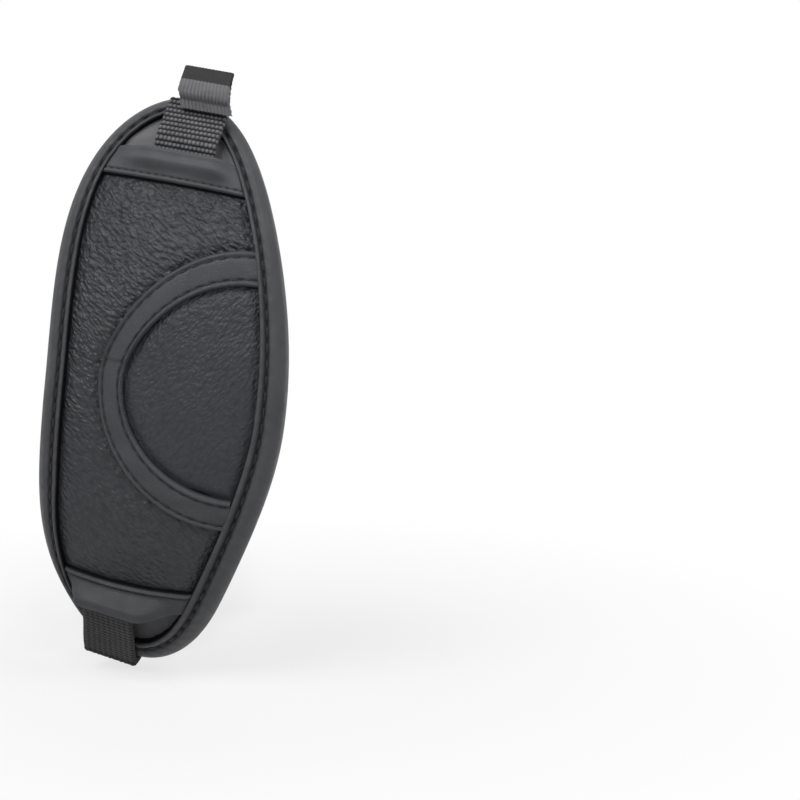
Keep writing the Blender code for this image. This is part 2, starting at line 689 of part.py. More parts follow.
def make_lower_webbing(material):
    """The wide webbing from the lower pocket, round the pad's tip and looped on the plate's bar."""
    half = WIDE_WEB_THICKNESS / 2 + RIB_HEIGHT
    level = np.array([1.0, 0.0, 0.0])
    knots = []

    def pad_knot(s, n):
        turn = PAD_TIP + s / PAD_BEND_RADIUS
        along = math.cos(turn) * UP - math.sin(turn) * OUT
        slant = TIP_FOLD_SLANT * smooth_step(-s, -TIP_FOLD_START, -BOTTOM_S)
        knots.append(np.concatenate([pad_point(s, LOWER_WEB_T, n), ACROSS - slant * along]))

    def bar_knot(y, z):
        knots.append(np.concatenate([[0.0, y, z], level]))

    s = LOWER_FREE_S + WEB_TUCK
    while s > BOTTOM_S + RIB_PITCH:
        pad_knot(s, lower_web_under(s) + WEB_CENTRE)
        s -= RIB_PITCH
    tip = BOTTOM_S - TAPE_THICKNESS - GAP - half + TIP_FOLD_RAISE
    for further, n in TIP_FOLD:
        pad_knot(tip + further, n)
    pad_knot(tip + TIP_FOLD_RETURN, TAPE_BACK - GAP - half)
    bar_side = PLATE_FRONT - GAP - half
    bar_over = BAR_TOP + GAP + half
    bar_inside = BAR_BACK + GAP + half
    corner = (GAP + half) * (1.0 - math.cos(math.radians(45)))
    bar_knot(bar_side, (PLATE_BOTTOM + BAR_TOP) / 2)
    bar_knot(bar_side + corner, bar_over - corner)
    bar_knot((PLATE_FRONT + BAR_BACK) / 2, bar_over)
    bar_knot(bar_inside - corner, bar_over - corner)
    bar_knot(bar_inside, (PLATE_BOTTOM + BAR_TOP) / 2)
    for y, z in WEB_TAIL:
        bar_knot(bar_inside + y, PLATE_BOTTOM + z)
    path = curve_through(knots, RIB_PITCH / 4)
    return add_strip("lower_webbing", path[:, :3], path[:, 3:], WIDE_WEB_WIDTH,
                     WIDE_WEB_THICKNESS, True, material)


def plate_outline(inset, front):
    """Returns the plate's outline, moved in by inset: round corners and a nose that tapers in."""
    corner = PLATE_CORNER - inset
    back = PLATE_BACK - inset
    half = PLATE_WIDTH / 2 - inset
    nose_half = PLATE_NOSE_WIDTH / 2 - inset
    right = []
    for k in range(7):
        angle = math.radians(90 - 15 * k)
        right.append((half - corner + corner * math.cos(angle),
                      back - corner + corner * math.sin(angle)))
    taper_start = PLATE_FRONT + PLATE_NOSE + PLATE_TAPER
    for k in range(9):
        share = k / 8
        x = half + (nose_half - half) * smooth_step(share, 0.0, 1.0)
        right.append((x, taper_start - PLATE_TAPER * share))
    nose_corner = NOSE_CORNER - inset
    tip = PLATE_FRONT + inset if front is None else front
    for k in range(7):
        angle = math.radians(-15 * k)
        right.append((nose_half - nose_corner + nose_corner * math.cos(angle),
                      tip + nose_corner + nose_corner * math.sin(angle)))
    return right + [(-x, y) for x, y in reversed(right)]


def add_prism(name, outline, low, high, material):
    """Adds an upright prism on the outline."""
    count = len(outline)
    vertices = [(x, y, low) for x, y in outline] + [(x, y, high) for x, y in outline]
    faces = [tuple(range(count)), tuple(range(count, 2 * count))]
    for k in range(count):
        after = (k + 1) % count
        faces.append((k, after, count + after, count + k))
    return add_object(name, vertices, faces, material)


def circle(radius, sides):
    """Returns a circle about the screw's axis."""
    turn = 2 * math.pi / sides
    return [(radius * math.cos(turn * k), radius * math.sin(turn * k)) for k in range(sides)]


def box_outline(x_half, y_low, y_high):
    """Returns a rectangle about the plate's middle line."""
    return [(x_half, y_low), (x_half, y_high), (-x_half, y_high), (-x_half, y_low)]


def cut(piece, cutter):
    """Cuts one piece with another, which is left out of the model."""
    cutter.hide_render = True
    cutter.display_type = "WIRE"
    step = piece.modifiers.new("cut_" + cutter.name, "BOOLEAN")
    step.operation = "DIFFERENCE"
    step.object = cutter


CLIP_RADIUS = SCREW_RADIUS + CLIP_WIDTH
HOLE_RADIUS = SCREW_RADIUS + SCREW_RUNNING_GAP
WELL_RADIUS = CLIP_RADIUS + CLIP_WELL_ROOM
CLIP_LEVEL = PLATE_TOP + GAP


def make_base_plate(material):
    """The base plate: a slot and a recessed bar at its front end, and a hole for the screw."""
    plate = add_prism("base_plate", plate_outline(0.0, None), PLATE_BOTTOM, PLATE_TOP, material)
    slot_half = WIDE_WEB_WIDTH / 2 + SLOT_SIDE_ROOM
    past = PLATE_THICKNESS / 2
    slot = add_prism("slot_cutter", box_outline(slot_half, BAR_BACK, SLOT_BACK),
                     PLATE_BOTTOM - past, PLATE_TOP + past, material)
    recess = add_prism("recess_cutter", box_outline(slot_half, PLATE_FRONT - past, SLOT_BACK),
                       BAR_TOP, PLATE_TOP + past, material)
    hole = add_prism("hole_cutter", circle(HOLE_RADIUS, ROUND_SIDES), PLATE_BOTTOM - past,
                     PLATE_TOP + past, material)
    for cutter in (slot, recess, hole):
        cut(plate, cutter)
    return plate


def make_seat_pad(material):
    """The rubber pad on the plate, with a well that clears the screw's retaining clip."""
    front = SLOT_BACK + SEAT_PAD_MARGIN
    pad = add_prism("seat_pad", plate_outline(SEAT_PAD_MARGIN, front), SEAT_PAD_BOTTOM, 0.0,
                    material)
    well = add_prism("well_cutter", circle(WELL_RADIUS, ROUND_SIDES),
                     SEAT_PAD_BOTTOM - SEAT_PAD_THICKNESS, SEAT_PAD_THICKNESS, material)
    cut(pad, well)
    return pad


def make_tripod_screw(material):
    """The captive screw, turned on its axis, with a knurled head and a coin slot under it."""
    groove = SCREW_RADIUS - GROOVE_DEPTH
    profile = [(0.0, SCREW_STAND_OUT), (SCREW_RADIUS - THREAD_CHAMFER, SCREW_STAND_OUT),
               (SCREW_RADIUS, SCREW_STAND_OUT - THREAD_CHAMFER),
               (SCREW_RADIUS, CLIP_LEVEL + CLIP_THICKNESS + GAP),
               (groove, CLIP_LEVEL + CLIP_THICKNESS + GAP), (groove, CLIP_LEVEL - GAP),
               (SCREW_RADIUS, CLIP_LEVEL - GAP), (SCREW_RADIUS, HEAD_TOP),
               (SCREW_HEAD_RADIUS, HEAD_TOP), (SCREW_HEAD_RADIUS, HEAD_BOTTOM + HEAD_CHAMFER),
               (SCREW_HEAD_RADIUS - HEAD_CHAMFER, HEAD_BOTTOM), (0.0, HEAD_BOTTOM)]
    sides = ROUND_SIDES
    vertices = [(0.0, 0.0, profile[0][1])]
    for radius, z in profile[1:-1]:
        vertices += [(x, y, z) for x, y in circle(radius, sides)]
    vertices.append((0.0, 0.0, profile[-1][1]))
    rings = len(profile) - 2
    faces = []
    for k in range(sides):
        after = (k + 1) % sides
        faces.append((0, 1 + k, 1 + after))
        for ring in range(rings - 1):
            a = 1 + ring * sides
            faces.append((a + k, a + sides + k, a + sides + after, a + after))
        last = 1 + (rings - 1) * sides
        faces.append((last + k, len(vertices) - 1, last + after))
    screw = add_object("tripod_screw", vertices, faces, material)
    reach = SCREW_HEAD_RADIUS * 2
    slot = add_prism("coin_slot_cutter", box_outline(COIN_SLOT_WIDTH / 2, -reach, reach),
                     HEAD_BOTTOM - COIN_SLOT_DEPTH, HEAD_BOTTOM + COIN_SLOT_DEPTH, material)
    cut(screw, slot)
    return screw


def make_screw_clip(material):
    """The open retaining clip in the screw's groove."""
    inner = SCREW_RADIUS - GROOVE_DEPTH + CLIP_ROOM
    turns = 24
    vertices = []
    for k in range(turns + 1):
        angle = CLIP_MOUTH + (2 * math.pi - 2 * CLIP_MOUTH) * k / turns
        for radius in (inner, CLIP_RADIUS):
            for z in (CLIP_LEVEL, CLIP_LEVEL + CLIP_THICKNESS):
                vertices.append((radius * math.cos(angle), radius * math.sin(angle), z))
    faces = []
    for k in range(turns):
        a, b = 4 * k, 4 * k + 4
        for low, high in ((0, 1), (1, 3), (3, 2), (2, 0)):
            faces.append((a + low, a + high, b + high, b + low))
    faces.append((0, 1, 3, 2))
    faces.append((4 * turns, 4 * turns + 1, 4 * turns + 3, 4 * turns + 2))
    return add_object("screw_clip", vertices, faces, material)


def build_strap():
    """Makes every piece with its own material."""
    make_foam(make_material("foam", (0.03, 0.03, 0.032), 0.95))
    make_back_lining(make_material("lining_cloth", (0.018, 0.018, 0.02), 0.85))
    make_main_panel(make_material("grained_leather", (0.035, 0.037, 0.042), 0.5))
    make_half_moon_panel(make_material("half_moon_leather", (0.035, 0.037, 0.042), 0.5))
    smooth = make_material("smooth_leather", (0.05, 0.05, 0.055), 0.45)
    make_curved_band(smooth)
    make_end_panel("upper_end_panel", UPPER_SEAM_S, UPPER_PANEL_LENGTH, UPPER_WEB_T,
                   upper_web_under, make_material("upper_panel_leather", (0.05, 0.05, 0.055), 0.45))
    make_end_panel("lower_end_panel", LOWER_SEAM_S, -LOWER_PANEL_LENGTH, LOWER_WEB_T,
                   lower_web_under, make_material("lower_panel_leather", (0.05, 0.05, 0.055), 0.45))
    pocket_cloth = make_material("pocket_cloth", (0.03, 0.03, 0.033), 0.8)
    make_pocket_lining("upper_pocket_lining", UPPER_SEAM_S + SEAM_OVERLAP + GAP,
                       TOP_S - 0.0012, pocket_cloth)
    make_pocket_lining("lower_pocket_lining", BOTTOM_S + 0.0012,
                       LOWER_SEAM_S - SEAM_OVERLAP - GAP,
                       make_material("lower_pocket_cloth", (0.03, 0.03, 0.033), 0.8))
    make_binding(make_material("binding_tape", (0.055, 0.055, 0.06), 0.5))
    make_upper_webbing(make_material("wide_webbing", (0.04, 0.042, 0.046), 0.7))
    make_lower_webbing(make_material("lower_wide_webbing", (0.04, 0.042, 0.046), 0.7))
    make_eyelet_webbing(make_material("narrow_webbing", (0.07, 0.07, 0.075), 0.7))
    make_base_plate(make_material("plate_paint", (0.02, 0.02, 0.022), 0.5))
    make_seat_pad(make_material("seat_rubber", (0.015, 0.015, 0.016), 0.8))
    make_tripod_screw(make_material("screw_steel", (0.55, 0.55, 0.56), 0.35, 1.0))
    make_screw_clip(make_material("clip_steel", (0.5, 0.5, 0.51), 0.35, 1.0))


build_strap()
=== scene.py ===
"""Looks of the padded hand grip strap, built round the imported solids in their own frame."""
import math

import bmesh
import bpy
import numpy as np
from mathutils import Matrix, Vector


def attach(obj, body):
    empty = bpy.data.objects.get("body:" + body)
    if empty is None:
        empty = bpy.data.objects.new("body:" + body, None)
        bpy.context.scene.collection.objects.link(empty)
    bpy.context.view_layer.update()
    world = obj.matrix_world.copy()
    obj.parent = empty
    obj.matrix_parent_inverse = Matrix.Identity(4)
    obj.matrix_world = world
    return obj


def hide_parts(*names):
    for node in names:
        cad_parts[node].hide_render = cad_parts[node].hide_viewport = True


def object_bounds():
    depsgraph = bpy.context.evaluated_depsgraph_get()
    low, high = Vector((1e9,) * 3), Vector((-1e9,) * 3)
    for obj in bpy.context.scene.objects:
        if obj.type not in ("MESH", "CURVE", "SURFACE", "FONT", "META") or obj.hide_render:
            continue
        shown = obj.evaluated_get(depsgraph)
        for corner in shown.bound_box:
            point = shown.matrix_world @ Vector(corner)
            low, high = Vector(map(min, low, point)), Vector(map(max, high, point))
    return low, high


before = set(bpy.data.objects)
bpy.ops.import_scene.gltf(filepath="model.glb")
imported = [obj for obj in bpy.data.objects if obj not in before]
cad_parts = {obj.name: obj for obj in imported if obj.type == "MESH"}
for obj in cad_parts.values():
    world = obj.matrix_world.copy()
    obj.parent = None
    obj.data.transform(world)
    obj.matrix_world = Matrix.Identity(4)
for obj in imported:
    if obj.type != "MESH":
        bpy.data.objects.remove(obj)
cad_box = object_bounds()


# Foam cushion: closed-cell foam cut to the leaf outline, thin at its edge and crowned in the
# middle, and bent along its length to lie over the back of the hand. Leather and lining hide it.
GAP = 0.0003
PAD_MIDDLE = np.array([0.012, -0.106, 0.055])
PAD_TURN = math.radians(12)
PAD_LEAN = math.radians(9)
PAD_TIP = math.radians(1.6)
PAD_BEND_RADIUS = 0.111
WIDEST_S = -0.012
HALF_WIDTH = 0.0237
TOP_REACH = 0.0618
BOTTOM_REACH = 0.0640
TOP_FULLNESS = 2.5
BOTTOM_FULLNESS = 1.8
BOW_MIDDLE = 0.0018
BOW_TOP = 0.0053
BOW_BOTTOM = 0.0032
BOW_TOP_REACH = 0.058
BOW_BOTTOM_REACH = 0.044
TOP_S = WIDEST_S + TOP_REACH
BOTTOM_S = WIDEST_S - BOTTOM_REACH
FOAM_CROWN = 0.0032
FOAM_TOP = -0.0021
FOAM_BACK = -0.0035
LEATHER = 0.0008

FACE_OUT = np.array([-math.sin(PAD_TURN), -math.cos(PAD_TURN), 0.0])
LEVEL = np.array([math.cos(PAD_TURN), -math.sin(PAD_TURN), 0.0])
UPRIGHT = np.array([0.0, 0.0, 1.0])
UP = math.cos(PAD_LEAN) * UPRIGHT + math.sin(PAD_LEAN) * LEVEL
ACROSS = math.cos(PAD_LEAN) * LEVEL - math.sin(PAD_LEAN) * UPRIGHT


def pad_place(s, t, n):
    """Gives the places s up, t across and n out of the bent pad."""
    s, t, n = np.broadcast_arrays(*[np.asarray(x, dtype=float) for x in (s, t, n)])
    angle = PAD_TIP + s / PAD_BEND_RADIUS
    rise = PAD_BEND_RADIUS * (np.sin(angle) - math.sin(PAD_TIP))
    bulge = PAD_BEND_RADIUS * (np.cos(angle) - math.cos(PAD_TIP))
    face = np.cos(angle)[..., None] * FACE_OUT + np.sin(angle)[..., None] * UP
    return (PAD_MIDDLE + rise[..., None] * UP + bulge[..., None] * FACE_OUT
            + t[..., None] * ACROSS + n[..., None] * face)


def leaf_centre(s):
    """Gives the pad's centre line, which bows to the right in the middle."""
    above = np.clip((s - WIDEST_S) / BOW_TOP_REACH, 0, 1)
    below = np.clip((WIDEST_S - s) / BOW_BOTTOM_REACH, 0, 1)
    return (BOW_MIDDLE - BOW_TOP * np.sin(math.pi / 2 * above) ** 2
            - BOW_BOTTOM * np.sin(math.pi / 2 * below) ** 2)


def leaf_half_width(s):
    """Gives half the pad's width at s."""
    above = np.clip((s - WIDEST_S) / TOP_REACH, 0, 1)
    below = np.clip((WIDEST_S - s) / BOTTOM_REACH, 0, 1)
    return HALF_WIDTH * np.sqrt(np.where(s > WIDEST_S, 1 - above ** TOP_FULLNESS,
                                         1 - below ** BOTTOM_FULLNESS))


def leaf_across(s, t):
    """Gives how far across the pad a place lies, from -1 at its left edge to 1 at its right."""
    return (t - leaf_centre(s)) / np.maximum(leaf_half_width(s), 1e-5)


def run_along(line):
    """Gives how far along a line of points each of them lies."""
    return np.concatenate([[0], np.cumsum(np.linalg.norm(np.diff(line, axis=0), axis=1))])


def leaf_outline(count, fine=4000):
    """Gives evenly spaced points s, t round the leaf, the way in from each, its turn in degrees
    and the length of the whole outline."""
    turn = 2 * math.pi * (np.arange(fine + 1) + 0.5) / fine
    side = np.sin(turn)
    fullness = np.where(side > 0, TOP_FULLNESS, BOTTOM_FULLNESS)
    reach = np.where(side > 0, TOP_REACH, BOTTOM_REACH)
    s = WIDEST_S + np.sign(side) * reach * np.abs(side) ** (2 / fullness)
    t = leaf_centre(s) + HALF_WIDTH * np.cos(turn)
    run = run_along(np.stack([s, t], 1))
    wanted = np.arange(count) * run[-1] / count
    line = np.stack([np.interp(wanted, run, s), np.interp(wanted, run, t)], 1)
    ahead = np.roll(line, -2, 0) - np.roll(line, 2, 0)
    ahead /= np.hypot(ahead[:, 0], ahead[:, 1])[:, None]
    inward = np.stack([ahead[:, 1], -ahead[:, 0]], 1)
    return line, inward, np.degrees(np.interp(wanted, run, turn)), run[-1]


def foam_face(s, t):
    """Gives n of the foam's crowned face."""
    along = (s - WIDEST_S) / np.where(s > WIDEST_S, TOP_REACH, BOTTOM_REACH)
    return (FOAM_TOP + FOAM_CROWN * np.clip(1 - leaf_across(s, t) ** 2, 0, 1)
            * np.clip(1 - along ** 4, 0, 1))


def make_piece(name, places, faces, material, crease=60, openness=None):
    """Makes a piece from its corners and faces; openness, which sets the painted shade in its
    colour, is 0 deep in a seam and 1 in the open.
    """
    mesh = bpy.data.meshes.new(name)
    mesh.from_pydata([tuple(p) for p in places], [], [tuple(int(k) for k in f) for f in faces])
    work = bmesh.new()
    work.from_mesh(mesh)
    bmesh.ops.recalc_face_normals(work, faces=work.faces)
    work.to_mesh(mesh)
    work.free()
    mesh.shade_smooth()
    mesh.set_sharp_from_angle(angle=math.radians(crease))
    mesh.materials.append(material)
    level = mesh.attributes.new("openness", "FLOAT", "POINT")
    values = np.ones(len(places)) if openness is None else np.ravel(openness)
    level.data.foreach_set("value", values.astype(np.float32))
    piece = bpy.data.objects.new(name, mesh)
    bpy.context.scene.collection.objects.link(piece)
    return piece


def tube_faces(rings, sides, closed=False):
    """Gives the numbers of a tube's corners, ring by ring, and the faces between its rings."""
    index = np.arange(rings * sides).reshape(rings, sides)
    turned = np.roll(index, -1, 1)
    quads = np.stack([index, turned, np.roll(turned, -1, 0), np.roll(index, -1, 0)], -1)
    return index, list((quads if closed else quads[:-1]).reshape(-1, 4))


def leaf_layer(name, inset, rings, back, front, material, count=240):
    """Makes a closed leaf-shaped layer between two levels, in rings of count points."""
    line, inward, _, _ = leaf_outline(count)
    rim = line + inward * inset
    middle = np.array([WIDEST_S, float(leaf_centre(WIDEST_S))])
    shares = np.sin(math.pi / 2 * np.arange(1, rings + 1) / rings)
    places = []
    for level in (back, front):
        places.append(pad_place(*middle, level(*middle))[None])
        for share in shares:
            ring = middle + (rim - middle) * share
            places.append(pad_place(ring[:, 0], ring[:, 1], level(ring[:, 0], ring[:, 1])))
    index, quads = tube_faces(rings, count)
    side = 1 + index.size
    faces = []
    for start in (0, side):
        near = index[0] + start + 1
        faces += [(start, a, b) for a, b in zip(near, np.roll(near, -1))]
        faces += [quad + start + 1 for quad in quads]
    last = index[-1] + 1
    ahead = np.roll(last, -1)
    faces += list(np.stack([last, ahead, side + ahead, side + last], 1))
    return make_piece(name, np.concatenate(places), faces, material)


def new_finish(name, colour, roughness, metallic=0.0, sheen=0.0):
    """Makes a material and gives it with its main shader."""
    material = bpy.data.materials.new(name)
    material.use_nodes = True
    shader = material.node_tree.nodes["Principled BSDF"]
    shader.inputs["Base Color"].default_value = (*colour, 1)
    shader.inputs["Roughness"].default_value = roughness
    shader.inputs["Metallic"].default_value = metallic
    shader.inputs["Sheen Weight"].default_value = sheen
    return material, shader


def link(value, socket):
    """Links an output to an input."""
    socket.id_data.links.new(value, socket)


def new_node(beside, kind, values, **settings):
    """Adds a shader node beside another node or output; a value that is an output is linked."""
    node = beside.id_data.nodes.new("ShaderNode" + kind)
    for name, setting in settings.items():
        setattr(node, name, setting)
    for name, value in values.items():
        if isinstance(value, bpy.types.NodeSocket):
            link(value, node.inputs[name])
        else:
            node.inputs[name].default_value = value
    return node


def place_input(beside, turn=(0, 0, 0), stretch=(1, 1, 1)):
    """Gives places on the piece in metres, turned by turn degrees and drawn out by stretch."""
    where = new_node(beside, "TexCoord", {}).outputs["Object"]
    return new_node(beside, "Mapping", {"Vector": where, "Scale": stretch,
                                        "Rotation": [math.radians(angle) for angle in turn]},
                    vector_type="TEXTURE").outputs["Vector"]


def noise_of(place, scale, detail=3.0, rough=0.5, output="Fac"):
    """Gives a cloudy pattern, from 0 to 1, or as Color three of them."""
    return new_node(place, "TexNoise", {"Vector": place, "Scale": scale, "Detail": detail,
                                        "Roughness": rough}).outputs[output]


def cells_of(place, scale, feature="DISTANCE_TO_EDGE"):
    """Gives a pattern of cells."""
    return new_node(place, "TexVoronoi", {"Vector": place, "Scale": scale},
                    feature=feature).outputs["Distance"]


def spread(value, low, high, to_low=0.0, to_high=1.0):
    """Gives the value spread from one range to another."""
    return new_node(value, "MapRange", {"Value": value, "From Min": low, "From Max": high,
                                        "To Min": to_low, "To Max": to_high}).outputs["Result"]


def together(first, second, how="ADD"):
    """Gives two patterns put together."""
    return new_node(first, "Math", {0: first, 1: second}, operation=how).outputs["Value"]


def tint(shader, value, dark, light, seam=(0.006, 0.006, 0.007)):
    """Colours the piece from dark to light by the pattern, and deep in a seam, where its openness
    is low, in the seam colour as painted shade, with less specular there.
    """
    colour = new_node(shader, "Mix", {"Factor": value, "A": (*dark, 1), "B": (*light, 1)},
                      data_type="RGBA").outputs["Result"]
    if seam is not None:
        # Painted shade: the seam colour and a lower specular level are mixed in where the piece's
        # openness is low.
        level = new_node(shader, "Attribute", {}, attribute_name="openness").outputs["Fac"]
        colour = new_node(shader, "Mix", {"Factor": level, "A": (*seam, 1), "B": colour},
                          data_type="RGBA").outputs["Result"]
        link(spread(level, 0, 1, 0.05, 0.3), shader.inputs["Specular IOR Level"])
    link(colour, shader.inputs["Base Color"])


def raise_by(shader, height, depth):
    """Raises the surface by the pattern, depth metres at its highest."""
    bump = new_node(shader, "Bump", {"Height": height, "Strength": 1.0, "Distance": depth})
    link(bump.outputs["Normal"], shader.inputs["Normal"])


foam_finish, shader = new_finish("foam cells", (0.03, 0.03, 0.032), 0.95)
pores = cells_of(place_input(shader), 900, "F1")
tint(shader, spread(pores, 0.1, 0.7), (0.04, 0.04, 0.042), (0.018, 0.018, 0.02))
raise_by(shader, pores, 0.0002)
foam = leaf_layer("foam_cushion", GAP, 12, lambda s, t: np.zeros_like(s) + FOAM_BACK, foam_face,
                  foam_finish)
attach(foam, "strap")
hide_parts("foam_pad")


# Back lining: smooth knitted cloth over the hollow side that lies against the hand, its edge
# folded into the binding.
LINING = 0.0008
LINING_BACK = FOAM_BACK - GAP - LINING
LINING_SAG = 0.0005
LINING_ROLL = 0.0004
PAD_WAY = (0, math.degrees(PAD_LEAN), 0)

lining_finish, shader = new_finish("lining cloth", (0.018, 0.018, 0.02), 0.85, sheen=0.35)
place = place_input(shader, PAD_WAY, (1, 1, 1.4))
knit = together(cells_of(place, 1500, "F1"), noise_of(place, 260, 4), "MULTIPLY")
tint(shader, spread(knit, 0.1, 0.4), (0.012, 0.012, 0.014), (0.03, 0.03, 0.033))
raise_by(shader, knit, 0.0002)


def dent(value, middle, width):
    """Gives 1 at the middle and a smooth fall to 0 about width away."""
    return np.exp(-((value - middle) / width) ** 2)


def lining_back(s, t):
    """Gives n of the lining's hand side, sagging between its sewn edges and rolled beside them."""
    across = np.clip(np.abs(leaf_across(s, t)), 0, 1)
    return LINING_BACK - LINING_SAG * (1 - across ** 2) + LINING_ROLL * dent(across, 0.8, 0.05)


back_lining = leaf_layer("hand_lining", GAP, 16, lining_back,
                         lambda s, t: np.zeros_like(s) + LINING_BACK + LINING, lining_finish)
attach(back_lining, "strap")
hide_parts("back_lining")


# Binding: a smooth tape folded over the raw edges of every layer and stitched through, with a
# piped ridge along its inner side. The thread pulls a groove with small puckers beside the ridge.
# The tape shows wide at the lower tip and narrow at the lower left.
TAPE = 0.0007
TAPE_WIDTH = 0.0037
TAPE_SHARES = ((0, 1.08), (30, 0.80), (90, 0.76), (135, 0.76), (160, 0.95), (200, 1.0),
               (215, 0.80), (228, 0.60), (240, 0.72), (268, 1.65), (280, 1.60), (300, 1.36),
               (345, 1.22), (360, 1.08))
OVER_LEATHER = GAP + LEATHER + GAP
TAPE_FACE = OVER_LEATHER + TAPE
TAPE_BACK = -0.0056
TAPE_UNDER = TAPE_BACK - FOAM_TOP
TAPE_SWELL = 0.0004
TAPE_SWELL_INSET = 0.0013
TAPE_RIDGE_INSET = 0.0032
STITCH_WIDTH = 0.00056
STITCH_RISE = 0.00018
BINDING_STITCH_INSET = 0.0023
BINDING_STITCH_PITCH = 0.0032
BINDING_STITCH_LENGTH = 0.0024
BINDING_STITCH_SINK = 0.00022
BINDING_PUCKER = 0.00010
BINDING_STATIONS = 960


def smooth_line(knots, count):
    """Gives count points on a smooth curve through the knots, evenly spaced by their first three
    values."""
    knots = np.asarray(knots, dtype=float)
    knots = np.concatenate([[2 * knots[0] - knots[1]], knots, [2 * knots[-1] - knots[-2]]])
    share = np.linspace(0, 1, 16, endpoint=False)[:, None]
    fine = []
    for before, start, end, after in zip(knots, knots[1:], knots[2:], knots[3:]):
        fine.append(0.5 * (2 * start + (end - before) * share
                           + (2 * before - 5 * start + 4 * end - after) * share ** 2
                           + (3 * start - before - 3 * end + after) * share ** 3))
    fine = np.concatenate(fine + [knots[-2][None]])
    run = run_along(fine[:, :3])
    wanted = np.linspace(0, run[-1], count)
    return np.stack([np.interp(wanted, run, fine[:, k]) for k in range(fine.shape[1])], 1)


def tape_width(turn):
    """Gives the width of the tape that shows at each turn in degrees round the outline."""
    return TAPE_WIDTH * np.interp(turn, *zip(*TAPE_SHARES))


# Each point of the tape's section: the way in from the outline, the height over the foam, whether
# it follows the foam's crown, and how open to the light it lies, which sets the painted shade in
# its colour. The skirt's points and the last point lie flat on the leather beyond the tape's edge
# as a dark strip of painted shadow, and the toe and the stitch groove are painted darker as shade.
painted_shadow_skirt = [(0.0041, 0.00070, 1, 0), (0.0039, 0.00112, 1, 0)]
face = [(0.00372, TAPE_FACE - 0.0003, 1, 0.05), (0.00374, TAPE_FACE, 1, 0.3),
        (0.00360, TAPE_FACE + 0.00035, 1, 0.9), (0.00322, TAPE_FACE + 0.00052, 1, 1),
        (0.00288, TAPE_FACE + 0.00030, 1, 0.8), (0.00262, TAPE_FACE - 0.00005, 1, 0.3),
        (0.00240, TAPE_FACE - 0.00022, 1, 0.1), (0.00215, TAPE_FACE - 0.00016, 1, 0.15),
        (0.00190, TAPE_FACE + 0.00010, 1, 0.6), (0.00150, TAPE_FACE + 0.00032, 1, 1),
        (0.00090, TAPE_FACE + TAPE_SWELL, 1, 1), (0.00020, TAPE_FACE + 0.00015, 1, 1),
        (-0.00050, TAPE_FACE - 0.00060, 1, 1)]
roll = [(-0.00095, TAPE_FACE - 0.0016, 0, 1), (-0.0010, -0.0009, 0, 1), (-0.0008, -0.0026, 0, 1),
        (-0.0003, TAPE_UNDER, 0, 1)]
back = [(0.0008, TAPE_UNDER - 0.0002, 0, 1), (0.0022, TAPE_UNDER - 0.0001, 0, 1),
        (0.0034, TAPE_UNDER - 0.0001, 0, 1), (0.00374, TAPE_UNDER + 0.0004, 0, 0.5)]
inside = [(0.0020, TAPE_UNDER + TAPE, 0, 1), (0.0, TAPE_UNDER + TAPE, 0, 1),
          (0.0, OVER_LEATHER, 1, 1), (0.0025, OVER_LEATHER, 1, 1), (0.0042, 0.0009, 1, 0)]
folded = smooth_line([(d, v, 0, c, o) for d, v, c, o in face + roll + back], 64)[:, [0, 1, 3, 4]]
section = np.concatenate([painted_shadow_skirt, folded, inside])
line, inward, turn, around = leaf_outline(BINDING_STATIONS)
widen = tape_width(turn) / TAPE_WIDTH
stitch_count = round(around / BINDING_STITCH_PITCH)
beat = np.cos(2 * math.pi * stitch_count * np.arange(BINDING_STATIONS) / BINDING_STATIONS)
places = []
for offset, value, crowned, _ in section:
    spread_out = offset * widen if offset > 0 and crowned > 0.5 else offset
    s = line[:, 0] + inward[:, 0] * spread_out
    t = line[:, 1] + inward[:, 1] * spread_out
    crown = (foam_face(s, t) - FOAM_TOP) * crowned
    pucker = BINDING_PUCKER * beat * crowned * (dent(offset, BINDING_STITCH_INSET, 0.0005)
                                                + 0.5 * dent(offset, TAPE_RIDGE_INSET, 0.0004)
                                                - 0.6 * dent(offset, TAPE_SWELL_INSET, 0.0006))
    places.append(pad_place(s, t, FOAM_TOP + crown + value - pucker))
openness = np.tile(np.clip(section[:, 3], 0, 1), (BINDING_STATIONS, 1))
_, faces = tube_faces(BINDING_STATIONS, len(section), closed=True)


def smooth_leather(name, dark, light, roughness):
    """Makes a finish of close smooth leather with a faint grain and a matt face."""
    material, shader = new_finish(name, dark, roughness)
    place = place_input(shader)
    cloud = noise_of(place, 120, 5, 0.6)
    tint(shader, spread(cloud, 0.3, 0.7), dark, light)
    rough = spread(noise_of(place, 420, 4), 0.3, 0.7, roughness - 0.07, roughness + 0.08)
    link(rough, shader.inputs["Roughness"])
    raise_by(shader, together(spread(cells_of(place, 2600), 0.0, 0.12),
                                    spread(cloud, 0, 1, 0, 2.5)), 0.00005)
    return material


binding_finish = smooth_leather("binding leather", (0.038, 0.039, 0.042), (0.056, 0.057, 0.062),
                                0.46)
binding = make_piece("folded_binding", np.stack(places, 1).reshape(-1, 3), faces, binding_finish,
                     openness=openness)
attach(binding, "strap")
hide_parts("edge_binding")


